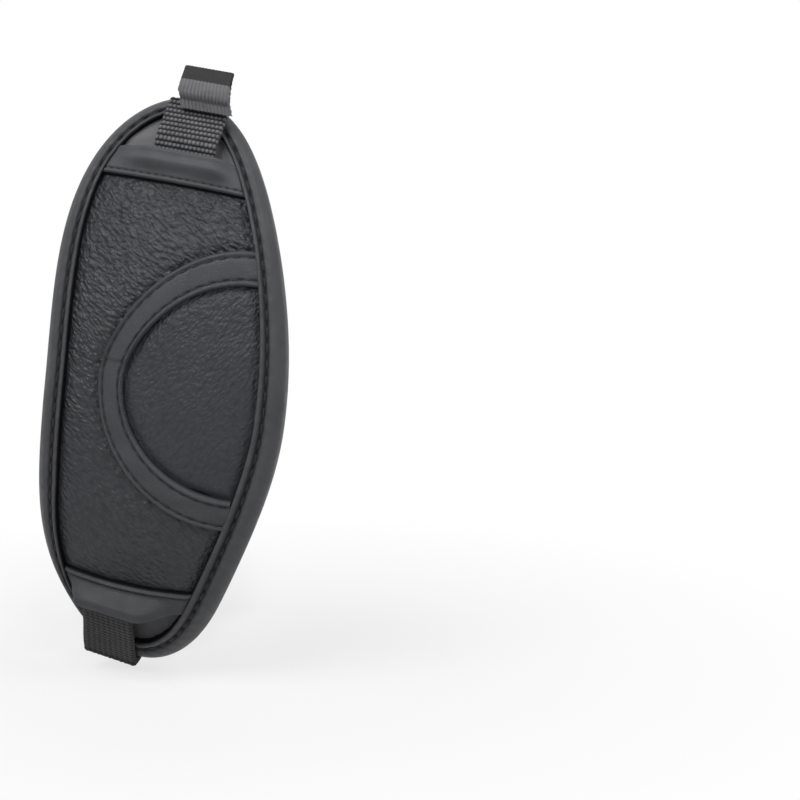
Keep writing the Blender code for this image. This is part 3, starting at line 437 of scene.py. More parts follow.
def stitch_row(name, line, level, length, pitch, width, rise, material, closed=False):
    """Makes a row of stitches: plump threads whose ends dive into the leather."""
    line = np.asarray(line)
    if closed:
        line = np.concatenate([line, line[:1]])
    run = run_along(line)
    count = int(round(run[-1] / pitch)) if closed else int((run[-1] - length) / pitch) + 1
    pitch = run[-1] / count if closed else pitch
    first = 0.0 if closed else (run[-1] - (count - 1) * pitch) / 2
    along = np.array([0, 0.1, 0.25, 0.5, 0.75, 0.9, 1.0])
    thick = np.array([0.25, 0.75, 0.95, 1.0, 0.95, 0.75, 0.25])
    sides = 8
    turn = 2 * math.pi * np.arange(sides) / sides
    index, tube = tube_faces(len(along), sides)
    places, faces = [], []
    for k in range(count):
        at = (first + k * pitch + (along - 0.5) * length) % run[-1]
        s, t = np.interp(at, run, line[:, 0]), np.interp(at, run, line[:, 1])
        ahead = np.array([s[4] - s[2], t[4] - t[2]])
        ahead /= np.hypot(*ahead)
        ring_s = s[:, None] - ahead[1] * width / 2 * thick[:, None] * np.cos(turn)
        ring_t = t[:, None] + ahead[0] * width / 2 * thick[:, None] * np.cos(turn)
        lift = rise * (np.sin(math.pi * along)[:, None] - 0.45)
        ring_n = level(ring_s, ring_t) + lift + rise * thick[:, None] * np.sin(turn)
        places.append(pad_place(ring_s, ring_t, ring_n).reshape(-1, 3))
        faces += [corners + k * index.size for corners in tube + [index[0], index[-1]]]
    return make_piece(name, np.concatenate(places), faces, material)


def bands_of(place, scale, way="X", distortion=0.0):
    """Gives a pattern of even bands across one way."""
    return new_node(place, "TexWave", {"Vector": place, "Scale": scale, "Distortion": distortion},
                    bands_direction=way).outputs["Fac"]


thread_finish, shader = new_finish("sewing thread", (0.010, 0.010, 0.011), 0.7, sheen=0.1)
strands = bands_of(place_input(shader, (40, 25, 10)), 900)
tint(shader, strands, (0.006, 0.006, 0.007), (0.014, 0.014, 0.016))
raise_by(shader, strands, 0.00004)
binding_stitches = stitch_row(
    "binding_stitches", line + inward * (BINDING_STITCH_INSET * widen)[:, None],
    lambda s, t: foam_face(s, t) + TAPE_FACE - BINDING_STITCH_SINK, BINDING_STITCH_LENGTH,
    BINDING_STITCH_PITCH, STITCH_WIDTH, STITCH_RISE, thread_finish, closed=True)
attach(binding_stitches, "strap")


# Main panel: one piece of black leather with a fine pebble grain, stretched over the foam and cut
# out on the right round the half moon. It is sewn down along the binding, band and end panels.
UPPER_SEAM_S = 0.0322
UPPER_PANEL_LENGTH = 0.0060
LOWER_SEAM_S = -0.0525
LOWER_PANEL_LENGTH = 0.0058
SEAM_OVERLAP = 0.0022
MOON_S = -0.0064
MOON_T = 0.0185
BAND_OUTER = (0.0288, 0.0293)
BAND_INNER = (0.0217, 0.0240)
BAND_MIDDLE = ((BAND_OUTER[0] + BAND_INNER[0]) / 2, (BAND_OUTER[1] + BAND_INNER[1]) / 2)
MOON_TOP_FULLNESS = 1.6
MOON_BOTTOM_FULLNESS = 2.0
LEATHER_PUFF = 0.00035
SEAM_PULL = 0.00055
SEAM_PULL_REACH = 0.0011
EDGE_PULL_REACH = 0.0012
LEATHER_WAVE = 0.00006

OUTLINE, OUTLINE_IN, OUTLINE_TURN, _ = leaf_outline(600)
TOE = tape_width(OUTLINE_TURN)
TOE_LINE = OUTLINE + OUTLINE_IN * TOE[:, None]


def leaf_side(s, side, inset):
    """Gives t of the outline moved in by inset, on the left (-1) or the right (1)."""
    loop = OUTLINE + OUTLINE_IN * np.reshape(inset, (-1, 1))
    top = int(np.argmax(loop[:, 0]))
    loop = np.roll(loop, -top, axis=0)
    bottom = int(np.argmin(loop[:, 0]))
    half = loop[:bottom + 1][::-1] if side < 0 else np.concatenate([loop[bottom:], loop[:1]])
    return np.interp(s, half[:, 0], half[:, 1])


def moon_line(degrees, size):
    """Gives s, t on a half-moon curve of that height and reach, from its lower tip to its upper."""
    side = np.sin(np.radians(degrees))
    fullness = np.where(side > 0, MOON_TOP_FULLNESS, MOON_BOTTOM_FULLNESS)
    s = MOON_S + np.sign(side) * size[0] * np.abs(side) ** (2 / fullness)
    return s, MOON_T - size[1] * np.cos(np.radians(degrees))


def away_from(s, t, line):
    """Gives the distance of every place from a line of points."""
    flat = np.stack([np.ravel(s), np.ravel(t)], 1)
    nearest = np.full(len(flat), 1.0)
    for start in range(0, len(flat), 4000):
        gaps = flat[start:start + 4000, None] - line[None]
        nearest[start:start + 4000] = np.sqrt((gaps ** 2).sum(2).min(1))
    return nearest.reshape(np.shape(s))


BAND_LINE = np.stack(moon_line(np.linspace(-89, 89, 260), BAND_OUTER), 1)
BAND_INSIDE_LINE = np.stack(moon_line(np.linspace(-89, 89, 260), BAND_INNER), 1)


def leather_face(s, t):
    """Gives n of the stretched leather's face, drawn down along its seams."""
    edge = away_from(s, t, TOE_LINE)
    band = np.minimum(away_from(s, t, BAND_LINE), away_from(s, t, BAND_INSIDE_LINE))
    seam = np.minimum(np.abs(s - UPPER_SEAM_S), np.abs(s - LOWER_SEAM_S))
    pull = np.maximum(dent(edge, 0, EDGE_PULL_REACH),
                      dent(np.minimum(band, seam), 0, SEAM_PULL_REACH))
    slow = (np.sin(410 * s + 190 * t + 0.7) * np.sin(300 * t - 170 * s)
            + 0.6 * np.sin(830 * t + 520 * s + 1.9))
    return (foam_face(s, t) + GAP + LEATHER + LEATHER_PUFF - SEAM_PULL * pull
            + LEATHER_WAVE * slow)


def fill_between(row_s, left, right, count):
    """Gives a grid of s, t that fills the rows from their left ends to their right ends."""
    share = np.linspace(0, 1, count)
    return (np.repeat(row_s[:, None], count, 1),
            left[:, None] + (right - left)[:, None] * share)


def closed_sheet(name, s, t, face, thickness, material, openness=None):
    """Makes a closed sheet on the pad from grids of s and t and the level of its face."""
    openness = np.ones(s.shape) if openness is None else openness
    rows, columns = s.shape
    front, back = pad_place(s, t, face), pad_place(s, t, face - thickness)
    places = np.concatenate([front.reshape(-1, 3), back.reshape(-1, 3)])
    index = np.arange(rows * columns).reshape(rows, columns)
    quads = np.stack([index[:-1, :-1], index[:-1, 1:], index[1:, 1:], index[1:, :-1]], -1)
    faces = list(quads.reshape(-1, 4)) + list(quads.reshape(-1, 4) + rows * columns)
    rim = np.concatenate([index[0], index[1:, -1], index[-1, -2::-1], index[-2:0:-1, 0]])
    ahead = np.roll(rim, -1)
    faces += list(np.stack([rim, ahead, ahead + rows * columns, rim + rows * columns], 1))
    return make_piece(name, places, faces, material,
                      openness=np.concatenate([openness.ravel(), openness.ravel()]))


def pebble_leather(name, dark, light, turn, roughness, pebbles, depth, low_share):
    """Makes a finish of leather whose long fine pebbles run one way, plainer low on the pad."""
    material, shader = new_finish(name, light, roughness)
    place = place_input(shader, (0, turn, 0), (1.0, 1.0, 1.8))
    bent = new_node(shader, "VectorMath", {0: noise_of(place, 130, output="Color"),
                                         1: (0.0026, 0.0026, 0.0026), 2: place},
                    operation="MULTIPLY_ADD").outputs["Vector"]
    pebble = cells_of(bent, pebbles, "SMOOTH_F1")
    creased = noise_of(bent, 900, 3, 0.6)
    cloud = noise_of(place_input(shader), 90, 4, 0.55)
    mound = spread(pebble, 0.05, 0.75, 1.0, 0.0)
    height = together(mound, spread(creased, 0.3, 0.7, 0.0, 0.9))
    level = new_node(shader, "SeparateXYZ", {0: place_input(shader)}).outputs["Z"]
    high_up = together(spread(level, 0.025, 0.085, low_share, 1.1),
                       spread(cloud, 0.3, 0.7, -0.15, 0.15))
    height = together(height, high_up, "MULTIPLY")
    height = together(height, spread(cloud, 0.2, 0.8, 0.0, 0.6))
    tint(shader, together(mound, spread(cloud, 0.25, 0.75, 0.5, 1.0),
                                "MULTIPLY"), dark, light)
    link(spread(mound, 0.0, 1.0, roughness + 0.2, roughness),
                   shader.inputs["Roughness"])
    raise_by(shader, height, depth)
    return material


main_finish = pebble_leather("pebbled leather", (0.018, 0.019, 0.022), (0.034, 0.036, 0.040), 130,
                             0.34, 1400, 0.00042, 0.6)
low, high = LOWER_SEAM_S - SEAM_OVERLAP, UPPER_SEAM_S + SEAM_OVERLAP
moon_low, moon_high = MOON_S - BAND_MIDDLE[0], MOON_S + BAND_MIDDLE[0]
row_s = np.unique(np.concatenate([np.linspace(low, moon_low - GAP, 40),
                                  moon_line(np.linspace(-90, 90, 130), BAND_MIDDLE)[0],
                                  np.linspace(moon_high + GAP, high, 40)]))
fullness = np.where(row_s > MOON_S, MOON_TOP_FULLNESS, MOON_BOTTOM_FULLNESS)
reach = np.clip(np.abs(row_s - MOON_S) / BAND_MIDDLE[0], 0, 1)
moon_edge = MOON_T - BAND_MIDDLE[1] * np.sqrt(1 - reach ** fullness) - GAP / 2
inside_moon = (row_s >= moon_low) & (row_s <= moon_high)
left = leaf_side(row_s, -1, GAP)
right = np.where(inside_moon, moon_edge, leaf_side(row_s, 1, GAP))
s, t = fill_between(row_s, left, right, 90)
main_panel = closed_sheet("pebbled_main_panel", s, t, leather_face(s, t), LEATHER, main_finish)
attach(main_panel, "strap")
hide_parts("main_panel")


# Half-moon panel: a second piece of the pebbled leather, its grain turned another way, stretched
# over the foam inside the curved band and sewn down with it.
half_moon_finish = pebble_leather("half moon leather", (0.020, 0.021, 0.024),
                                  (0.033, 0.035, 0.040), 42, 0.42, 1900, 0.00030, 0.1)
row_s, edge = moon_line(np.linspace(-88, 88, 150), BAND_MIDDLE)
s, t = fill_between(row_s, edge + GAP / 2, leaf_side(row_s, 1, GAP), 80)
half_moon = closed_sheet("half_moon_leather", s, t, leather_face(s, t), LEATHER, half_moon_finish)
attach(half_moon, "strap")
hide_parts("half_moon_panel")


# Curved band: a smooth strip over the seam round the half moon, both edges turned under and
# stitched, spliced on its left where the two ends of the strip meet.
BAND_STATIONS = 260
BAND_FOLD_SHARE = 0.07
BAND_FOLD_RISE = 0.00115
BAND_LIP = 0.00024
BAND_GROOVE = 0.00026
BAND_PUFF = 0.00014
BAND_DENTS = 0.00010
BAND_SINK = 0.00012
BAND_STITCH_SHARE = 0.19
BAND_STITCH_PITCH = 0.0027
BAND_STITCH_LENGTH = 0.0019
BAND_STITCH_SINK = 0.00028
BAND_STITCH_RISE = 0.00020
SPLICE_S = -0.0036
SPLICE_EDGE = 0.0007
SPLICE_FADE = 0.010
SPLICE_RISE = 0.0004
HALF_SHARES = (-0.09, -0.03, 0.0, 0.015, 0.05, 0.09, 0.12, 0.15, 0.17, BAND_STITCH_SHARE, 0.21,
               0.24, 0.28, 0.34, 0.42)

band_finish = smooth_leather("band leather", (0.033, 0.034, 0.038), (0.046, 0.047, 0.052), 0.45)


def band_line(share, inset, count):
    """Gives count points along the band, share of the way from its outer edge to its inner."""
    size = [outer + (inner - outer) * share for outer, inner in zip(BAND_OUTER, BAND_INNER)]
    s, t = moon_line(np.linspace(-90, 90, 1500), size)
    keep = t <= leaf_side(s, 1, TOE + inset)
    s, t = s[keep], t[keep]
    run = run_along(np.stack([s, t], 1))
    wanted = np.linspace(0, run[-1], count)
    return np.interp(wanted, run, s), np.interp(wanted, run, t), run[-1]


grid_s, grid_t, level, bright = [], [], [], []
for share in HALF_SHARES + (0.5,) + tuple(1 - share for share in HALF_SHARES[::-1]):
    s, t, long = band_line(share, -0.0004, BAND_STATIONS)
    nearest = max(0.0, min(share, 1 - share))
    roll = math.sqrt(1 - (1 - min(nearest / BAND_FOLD_SHARE, 1)) ** 2)
    beat = np.cos(2 * math.pi * round(long / BAND_STITCH_PITCH) * np.arange(BAND_STATIONS)
                  / BAND_STATIONS)
    groove = BAND_GROOVE * dent(nearest, BAND_STITCH_SHARE, 0.035) * (1 - 0.45 * beat)
    dents = BAND_DENTS * np.sin(620 * s - 380 * t + 5 * share) * math.sin(math.pi * share)
    splice = (SPLICE_RISE * np.clip((s - SPLICE_S) / SPLICE_EDGE, 0, 1)
              * np.clip(1 - (s - SPLICE_S - SPLICE_EDGE) / SPLICE_FADE, 0, 1))
    edge_rise = 0.00004 if 0 < share < 1 else -0.00012
    level.append(foam_face(s, t) + GAP + LEATHER - BAND_SINK + edge_rise + BAND_FOLD_RISE * roll
                 + BAND_LIP * dent(nearest, 0.085, 0.05) - groove
                 + BAND_PUFF * math.sin(math.pi * nearest) ** 2 + (dents + splice) * roll)
    # Painted shade: the band's turned-under edge rows are black and its stitch grooves darker.
    bright.append(np.full(len(s), 1 - 0.4 * dent(nearest, BAND_STITCH_SHARE, 0.028)
                          if 0 < share < 1 else 0.0))
    grid_s.append(s)
    grid_t.append(t)
band = closed_sheet("curved_trim_band", np.array(grid_s), np.array(grid_t), np.array(level),
                    LEATHER, band_finish, np.array(bright))
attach(band, "strap")
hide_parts("curved_band")
for number, share in ((1, BAND_STITCH_SHARE), (2, 1 - BAND_STITCH_SHARE)):
    row = stitch_row("band_stitches_%d" % number, np.stack(band_line(share, 0.0002, 400)[:2], 1),
                     lambda s, t: foam_face(s, t) + OVER_LEATHER + LEATHER - BAND_STITCH_SINK,
                     BAND_STITCH_LENGTH, BAND_STITCH_PITCH, STITCH_WIDTH, BAND_STITCH_RISE,
                     thread_finish)
    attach(row, "strap")


# Pocket linings: two pieces of fine woven cloth laid on the foam under the end panels. They show
# in the end pockets, where the webbing comes out, and are sewn in under the binding.
POCKET_LINING = 0.0007
CLOTH_END = 0.0012
CLOTH_RIPPLE = 0.00005
CLOTH_FOLD = 0.00030


def lining_cloth(name, dark, light):
    """Makes a finish of fine smooth lining cloth."""
    material, shader = new_finish(name, dark, 0.7, sheen=0.15)
    place = place_input(shader, PAD_WAY)
    weft, warp = [bands_of(place, 900, way, 1.5) for way in "ZX"]
    tint(shader, noise_of(place, 160), dark, light)
    raise_by(shader, together(weft, warp, "MULTIPLY"), 0.00003)
    return material


for node, low, high, name, slot, finish in (
        ("upper_pocket_lining", UPPER_SEAM_S + SEAM_OVERLAP + GAP, TOP_S - CLOTH_END,
         "upper_pocket_cloth", "pocket_cloth",
         lining_cloth("upper pocket cloth", (0.075, 0.075, 0.080), (0.135, 0.135, 0.143))),
        # The lower cloth is the same cloth as the upper, its darker colours painted shade.
        ("lower_pocket_lining", BOTTOM_S + CLOTH_END, LOWER_SEAM_S - SEAM_OVERLAP - GAP,
         "lower_pocket_piece", "lower_pocket_cloth",
         lining_cloth("lower pocket cloth", (0.024, 0.024, 0.027), (0.042, 0.042, 0.046)))):
    row_s = np.linspace(low, high, 80)
    left, right = leaf_side(row_s, -1, GAP), leaf_side(row_s, 1, GAP)
    s, t = fill_between(row_s, left, right, 120)
    ripple = CLOTH_RIPPLE * np.sin(2400 * t + 500 * s) * dent(t, 0.0035, 0.003)
    fold = CLOTH_FOLD * dent(s - 0.3 * t, 0.0440, 0.0011) * dent(t, -0.011, 0.004)
    lining = closed_sheet(name, s, t, foam_face(s, t) + GAP + POCKET_LINING + ripple + fold,
                          POCKET_LINING, finish)
    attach(lining, "strap")
    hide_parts(node)


# Wide webbing: coarse nylon strap woven with rows of plump picks. The upper one leaves its pocket
# and ends under the narrow loop. The lower one runs round the pad's tip to the base plate's bar.
WIDE_WEB_WIDTH = 0.0115
WIDE_WEB = 0.0014
RIB_HEIGHT = 0.00025
UPPER_WEB_T = -0.0017
LOWER_WEB_T = -0.0063
WEB_TUCK = 0.0020
UPPER_FREE_S = UPPER_SEAM_S + UPPER_PANEL_LENGTH
LOWER_FREE_S = LOWER_SEAM_S - LOWER_PANEL_LENGTH
UPPER_WEB_END_S = TOP_S - 0.0011
OVER_TAPE = TAPE_FACE + TAPE_SWELL + GAP
PICK_PITCH = 0.00098
PICK_WIDTH = 0.00084
PICK_HEIGHT = 0.00036
PICK_SINK = 0.00014
SELVEDGE_WAVE = 0.00009
SELVEDGE_ROUND = 0.45
UPPER_WEB_CLIMB = (-0.0010, 0.0028)
UPPER_WEB_EXTRA = 0.0010
UPPER_WEB_DRIFT = 0.0006
LOWER_WEB_SINK = 0.0003


def smooth_rise(value, start, end):
    """Gives 0 before start, 1 after end and a smooth rise between."""
    share = np.clip((value - start) / (end - start), 0, 1)
    return share * share * (3 - 2 * share)


def upper_web_under(s):
    """Gives n under the upper webbing: in its pocket, then over the binding."""
    over_pocket = GAP + POCKET_LINING + GAP
    climb = smooth_rise(s - UPPER_FREE_S, *UPPER_WEB_CLIMB)
    return (foam_face(np.minimum(s, TOP_S), UPPER_WEB_T) + over_pocket
            + (OVER_TAPE - over_pocket) * climb + RIB_HEIGHT)


def lower_web_under(s):
    """Gives n under the lower webbing, which lies on the binding."""
    sides = [LOWER_WEB_T + WIDE_WEB_WIDTH * k / 4 for k in range(3)]
    levels = [foam_face(np.maximum(s, BOTTOM_S), t) for t in sides]
    return np.maximum.reduce(levels) + OVER_TAPE + RIB_HEIGHT - LOWER_WEB_SINK


def woven_strip(name, path, across, width, thick, columns, relief, material, deep=0.0,
                shade=None):
    """Makes a strap along the path, its faces raised by the relief and painted dark as shade in its
    hollows, no darker than deep, with shade giving more painted shade along its run.
    """
    ahead = np.gradient(path, axis=0)
    ahead /= np.linalg.norm(ahead, axis=1)[:, None]
    square = across - ahead * np.sum(across * ahead, 1)[:, None]
    length = np.linalg.norm(square, axis=1)[:, None]
    side = across / length
    out = np.cross(square / length, ahead)
    run = run_along(path)
    x = np.linspace(-width / 2, width / 2, columns)
    past = np.clip((np.abs(x) - width / 2) / (SELVEDGE_ROUND * thick) + 1, 0, 1)
    edge = np.sqrt(1 - past ** 2)
    raised, lowered = relief(run[:, None], x[None]), relief(run[:, None] + PICK_PITCH / 2, x[None])
    wave = np.cos(2 * math.pi * run / PICK_PITCH)[:, None] * np.sign(x) * (edge < 0.9)
    spot = path[:, None] + side[:, None] * (x + SELVEDGE_WAVE * wave)[..., None]
    front = spot + out[:, None] * ((thick / 2 + raised) * edge)[..., None]
    back = (spot - out[:, None] * ((thick / 2 + lowered) * edge)[..., None])[:, ::-1]
    ring = np.concatenate([front, back[:, 1:-1]], 1)
    # Painted shade: the hollows between the picks are darker, down to deep.
    bright = [deep + (1 - deep) * np.clip((part - part.min()) / np.ptp(part), 0, 1) ** 1.3
              for part in (raised, lowered)]
    bright = np.concatenate([bright[0], bright[1][:, ::-1][:, 1:-1]], 1)
    if shade is not None:
        bright = bright * shade(run)[:, None]
    size = ring.shape[1]
    index, faces = tube_faces(len(ring), size)
    for end in (index[0], index[-1]):
        faces.append((end[0], end[1], end[size - 1]))
        for j in range(1, columns - 2):
            faces.append((end[j], end[j + 1], end[size - j - 1], end[size - j]))
        faces.append((end[columns - 2], end[columns - 1], end[columns]))
    return make_piece(name, ring.reshape(-1, 3), faces, material, crease=80, openness=bright)


def coarse_weave(run, x):
    """Gives the relief of the coarse weave: rows of plump picks, each row half a pick aside."""
    row = np.floor(run / PICK_PITCH)
    rib = np.cos(math.pi * (run / PICK_PITCH - row - 0.5))
    pick = np.abs(np.cos(math.pi * (x / PICK_WIDTH + 0.5 * (row % 2))))
    return PICK_HEIGHT * rib * (0.25 + 0.75 * pick ** 0.8) - PICK_SINK


def plain_weave(run, x):
    """Gives the relief of the lower strap, whose picks lie flat where it is pulled tight."""
    return 0.4 * coarse_weave(run, x) + 0.00004 * np.cos(2 * math.pi * x / 0.0012)


def webbing_finish(name, dark, light, roughness):
    """Makes a finish of nylon yarn: fine filaments, with painted shade dark between the picks."""
    material, shader = new_finish(name, light, roughness, sheen=0.04)
    place = place_input(shader, PAD_WAY)
    cloud = noise_of(place, 420, 2)
    tint(shader, spread(cloud, 0.3, 0.7, 0.3, 1.0), dark, light,
         seam=(0.004, 0.004, 0.005))
    filaments = bands_of(place, 1500, distortion=3.0)
    raise_by(shader, together(noise_of(place, 1600, 5, 0.6), filaments), 0.00006)
    return material


wide_finish = webbing_finish("wide webbing yarn", (0.10, 0.10, 0.107), (0.19, 0.19, 0.20), 0.5)
# The lower webbing is the same yarn as the upper, its darker colours painted shade.
shaded_lower_web_finish = webbing_finish("lower webbing yarn", (0.030, 0.030, 0.032), (0.048, 0.048, 0.051),
                              0.6)
levels = np.linspace(UPPER_FREE_S - WEB_TUCK, UPPER_WEB_END_S, 110)
path = pad_place(levels, UPPER_WEB_T + UPPER_WEB_DRIFT * smooth_rise(levels, UPPER_FREE_S, TOP_S),
                 upper_web_under(levels) + WIDE_WEB / 2)
upper_web = woven_strip("upper_wide_webbing", path, np.tile(ACROSS, (len(path), 1)),
                        WIDE_WEB_WIDTH + UPPER_WEB_EXTRA, WIDE_WEB, 98, coarse_weave, wide_finish)
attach(upper_web, "strap")
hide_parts("upper_webbing")

PLATE_TOP = -0.0018
PLATE_BOTTOM = PLATE_TOP - 0.0055
PLATE_FRONT = -0.070
BAR_TOP = PLATE_TOP - 0.0022
BAR_BACK = PLATE_FRONT + 0.0038
LOWER_WEB_LEAN = 0.12
TIP_FOLD_START = -0.062
TIP_FOLD_SLANT = 0.2
TIP_FOLD_RAISE = 0.0015
TIP_FOLD_LEFT = 0.0010
TIP_FOLD = ((0.0012, 0.0016), (-0.0002, -0.0012), (-0.0002, -0.0044))
TIP_FOLD_RETURN = 0.0018
WEB_TAIL = ((-0.0005, -0.0011), (-0.0018, -0.0042), (-0.0036, -0.0064), (-0.0052, -0.0078))
half = WIDE_WEB / 2 + RIB_HEIGHT
tip = BOTTOM_S - TAPE - GAP - half + TIP_FOLD_RAISE
spots = [(s, float(lower_web_under(s)) + WIDE_WEB / 2)
         for s in np.arange(LOWER_FREE_S + WEB_TUCK, BOTTOM_S + 0.0015, -0.0015)]
spots += [(tip + further, n) for further, n in TIP_FOLD]
spots.append((tip + TIP_FOLD_RETURN, TAPE_BACK - GAP - half))
knots = []
for s, n in spots:
    turned = PAD_TIP + s / PAD_BEND_RADIUS
    along = math.cos(turned) * UP - math.sin(turned) * FACE_OUT
    turning = float(smooth_rise(-s, -TIP_FOLD_START, -BOTTOM_S))
    face_way = math.cos(turned) * FACE_OUT + math.sin(turned) * UP
    across = (ACROSS - TIP_FOLD_SLANT * turning * along
              + LOWER_WEB_LEAN * (1 - turning) * face_way)
    knots.append(np.concatenate([pad_place(s, LOWER_WEB_T - TIP_FOLD_LEFT * turning, n), across]))
bar_side = PLATE_FRONT - GAP - half
bar_over = BAR_TOP + GAP + half
bar_inside = BAR_BACK + GAP + half
corner = (GAP + half) * (1 - math.cos(math.pi / 4))
for y, z in [(bar_side, (PLATE_BOTTOM + BAR_TOP) / 2), (bar_side + corner, bar_over - corner),
             ((PLATE_FRONT + BAR_BACK) / 2, bar_over), (bar_inside - corner, bar_over - corner),
             (bar_inside, (PLATE_BOTTOM + BAR_TOP) / 2)] + [
                 (bar_inside + y, PLATE_BOTTOM + z) for y, z in WEB_TAIL]:
    knots.append(np.array([0, y, z, 1, 0, 0], dtype=float))
path = smooth_line(knots, 330)
lower_web = woven_strip("lower_strap_webbing", path[:, :3], path[:, 3:], WIDE_WEB_WIDTH, WIDE_WEB,
                        70, plain_weave, shaded_lower_web_finish, 0.25)
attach(lower_web, "strap")
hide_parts("lower_webbing")


# Narrow webbing: a close-woven grey strap, both ends sewn on the wide webbing's end, with its
# loop over the pad's tip for the eyelet.
EYELET_WEB_WIDTH = 0.0100
EYELET_WEB = 0.0011
EYELET_INSIDE = 0.0046
EYELET_REACH = np.array([-0.0011, 0.0132, 0.0027])
EYELET_T = -0.0003
LAP_S = TOP_S - 0.0032
LAP_T = 0.0010
LAP_MIDDLE_T = 0.0004
LAP_SINK = 0.0001
TIP_BEYOND = 0.0004
UNDER_S = TOP_S - 0.0002
# Painted shade: the loop is darkened between these runs, where it turns over the eyelet.
LOOP_SHADE_FROM = (0.0100, 0.0106)
LOOP_SHADE_TO = (0.0230, 0.0240)
step = EYELET_WEB + GAP
inner = float(upper_web_under(TOP_S)) + WIDE_WEB + RIB_HEIGHT + GAP + EYELET_WEB / 2
outer = inner + step
tip_place = pad_place(TOP_S, EYELET_T, (inner + outer) / 2)
middle = pad_place(TOP_S, EYELET_T, 0.0) + EYELET_REACH
inward_way = middle - tip_place
inward_way /= np.linalg.norm(inward_way)
over_way = np.cross(ACROSS, inward_way)
over_way /= np.linalg.norm(over_way)
over_way *= math.copysign(1.0, over_way[2])
radius = (EYELET_INSIDE + EYELET_WEB) / 2
slope = float(upper_web_under(LAP_S) - upper_web_under(TOP_S))
knots = [pad_place(LAP_S, LAP_T, inner + slope - LAP_SINK),
         pad_place((LAP_S + TOP_S) / 2, LAP_MIDDLE_T, inner + slope / 2 + step / 2),
         pad_place(TOP_S + TIP_BEYOND, EYELET_T, outer)]
for angle in np.radians(range(75, 286, 30)):
    knots.append(middle + radius * (over_way * math.sin(angle) - inward_way * math.cos(angle)))
knots += [pad_place(TOP_S, EYELET_T, inner), pad_place(UNDER_S, EYELET_T, inner)]
path = smooth_line(knots, 170)


def close_weave(run, x):
    """Gives the relief of the close weave: faint ribs along the strap."""
    return 0.00003 * np.cos(2 * math.pi * x / 0.0007) * (1 + 0.4 * np.cos(1900 * run + 700 * x))


def loop_shade(run):
    """Gives how light the strap is along its run: painted dark as shade where it turns over the
    eyelet.
    """
    return 1 - 0.98 * smooth_rise(run, *LOOP_SHADE_FROM) * (1 - smooth_rise(run, *LOOP_SHADE_TO))


narrow_finish = webbing_finish("narrow webbing yarn", (0.085, 0.085, 0.09), (0.13, 0.13, 0.138),
                               0.6)
narrow_web = woven_strip("narrow_loop_webbing", path, np.tile(ACROSS, (len(path), 1)),
                         EYELET_WEB_WIDTH, EYELET_WEB, 110, close_weave, narrow_finish, 0.6,
                         loop_shade)
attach(narrow_web, "strap")
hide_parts("eyelet_webbing")


# End panels: smooth leather over the webbing's sewn ends. Each has a turned lip and a stitch row
# along its seam with the main panel, and a rolled free edge over the pocket's mouth.
HEM = 0.0022
PANEL_FLAT = 0.0012
PANEL_DRAPE = 0.0080
PANEL_LIP = 0.00020
PANEL_GROOVE = 0.00024
PANEL_FREE_ROLL = 0.00022
PANEL_CREASES = 0.00007
PANEL_SEAM_SINK = 0.00025
PANEL_SIDE_SINK = 0.0003
PANEL_STITCH_IN = 0.0010
PANEL_STITCH_PITCH = 0.0016
PANEL_STITCH_LENGTH = 0.0011
PANEL_STITCH_WIDTH = 0.00042
PANEL_STITCH_SINK = 0.00030


def panel_lift(s, t, seam_s, length, web_t, under, lean):
    """Gives how far the webbing lifts the panel."""
    away = np.abs(s - seam_s)
    tucked = smooth_rise(away, PANEL_FLAT, abs(length) - WEB_TUCK - GAP)
    edge = WIDE_WEB_WIDTH / 2 + RIB_HEIGHT + GAP
    side = np.where(t > web_t, leaf_side(s, 1, TOE + GAP), leaf_side(s, -1, TOE + GAP))
    room = np.minimum(PANEL_DRAPE, np.abs(side - web_t) - edge)
    beside = smooth_rise(np.abs(t - web_t), edge, edge + room)
    web_face = under(s) + lean * (t - web_t) + WIDE_WEB + RIB_HEIGHT + GAP
    lift = np.maximum(0, web_face - foam_face(s, t) - OVER_LEATHER)
    return lift * tucked * (1 - beside)


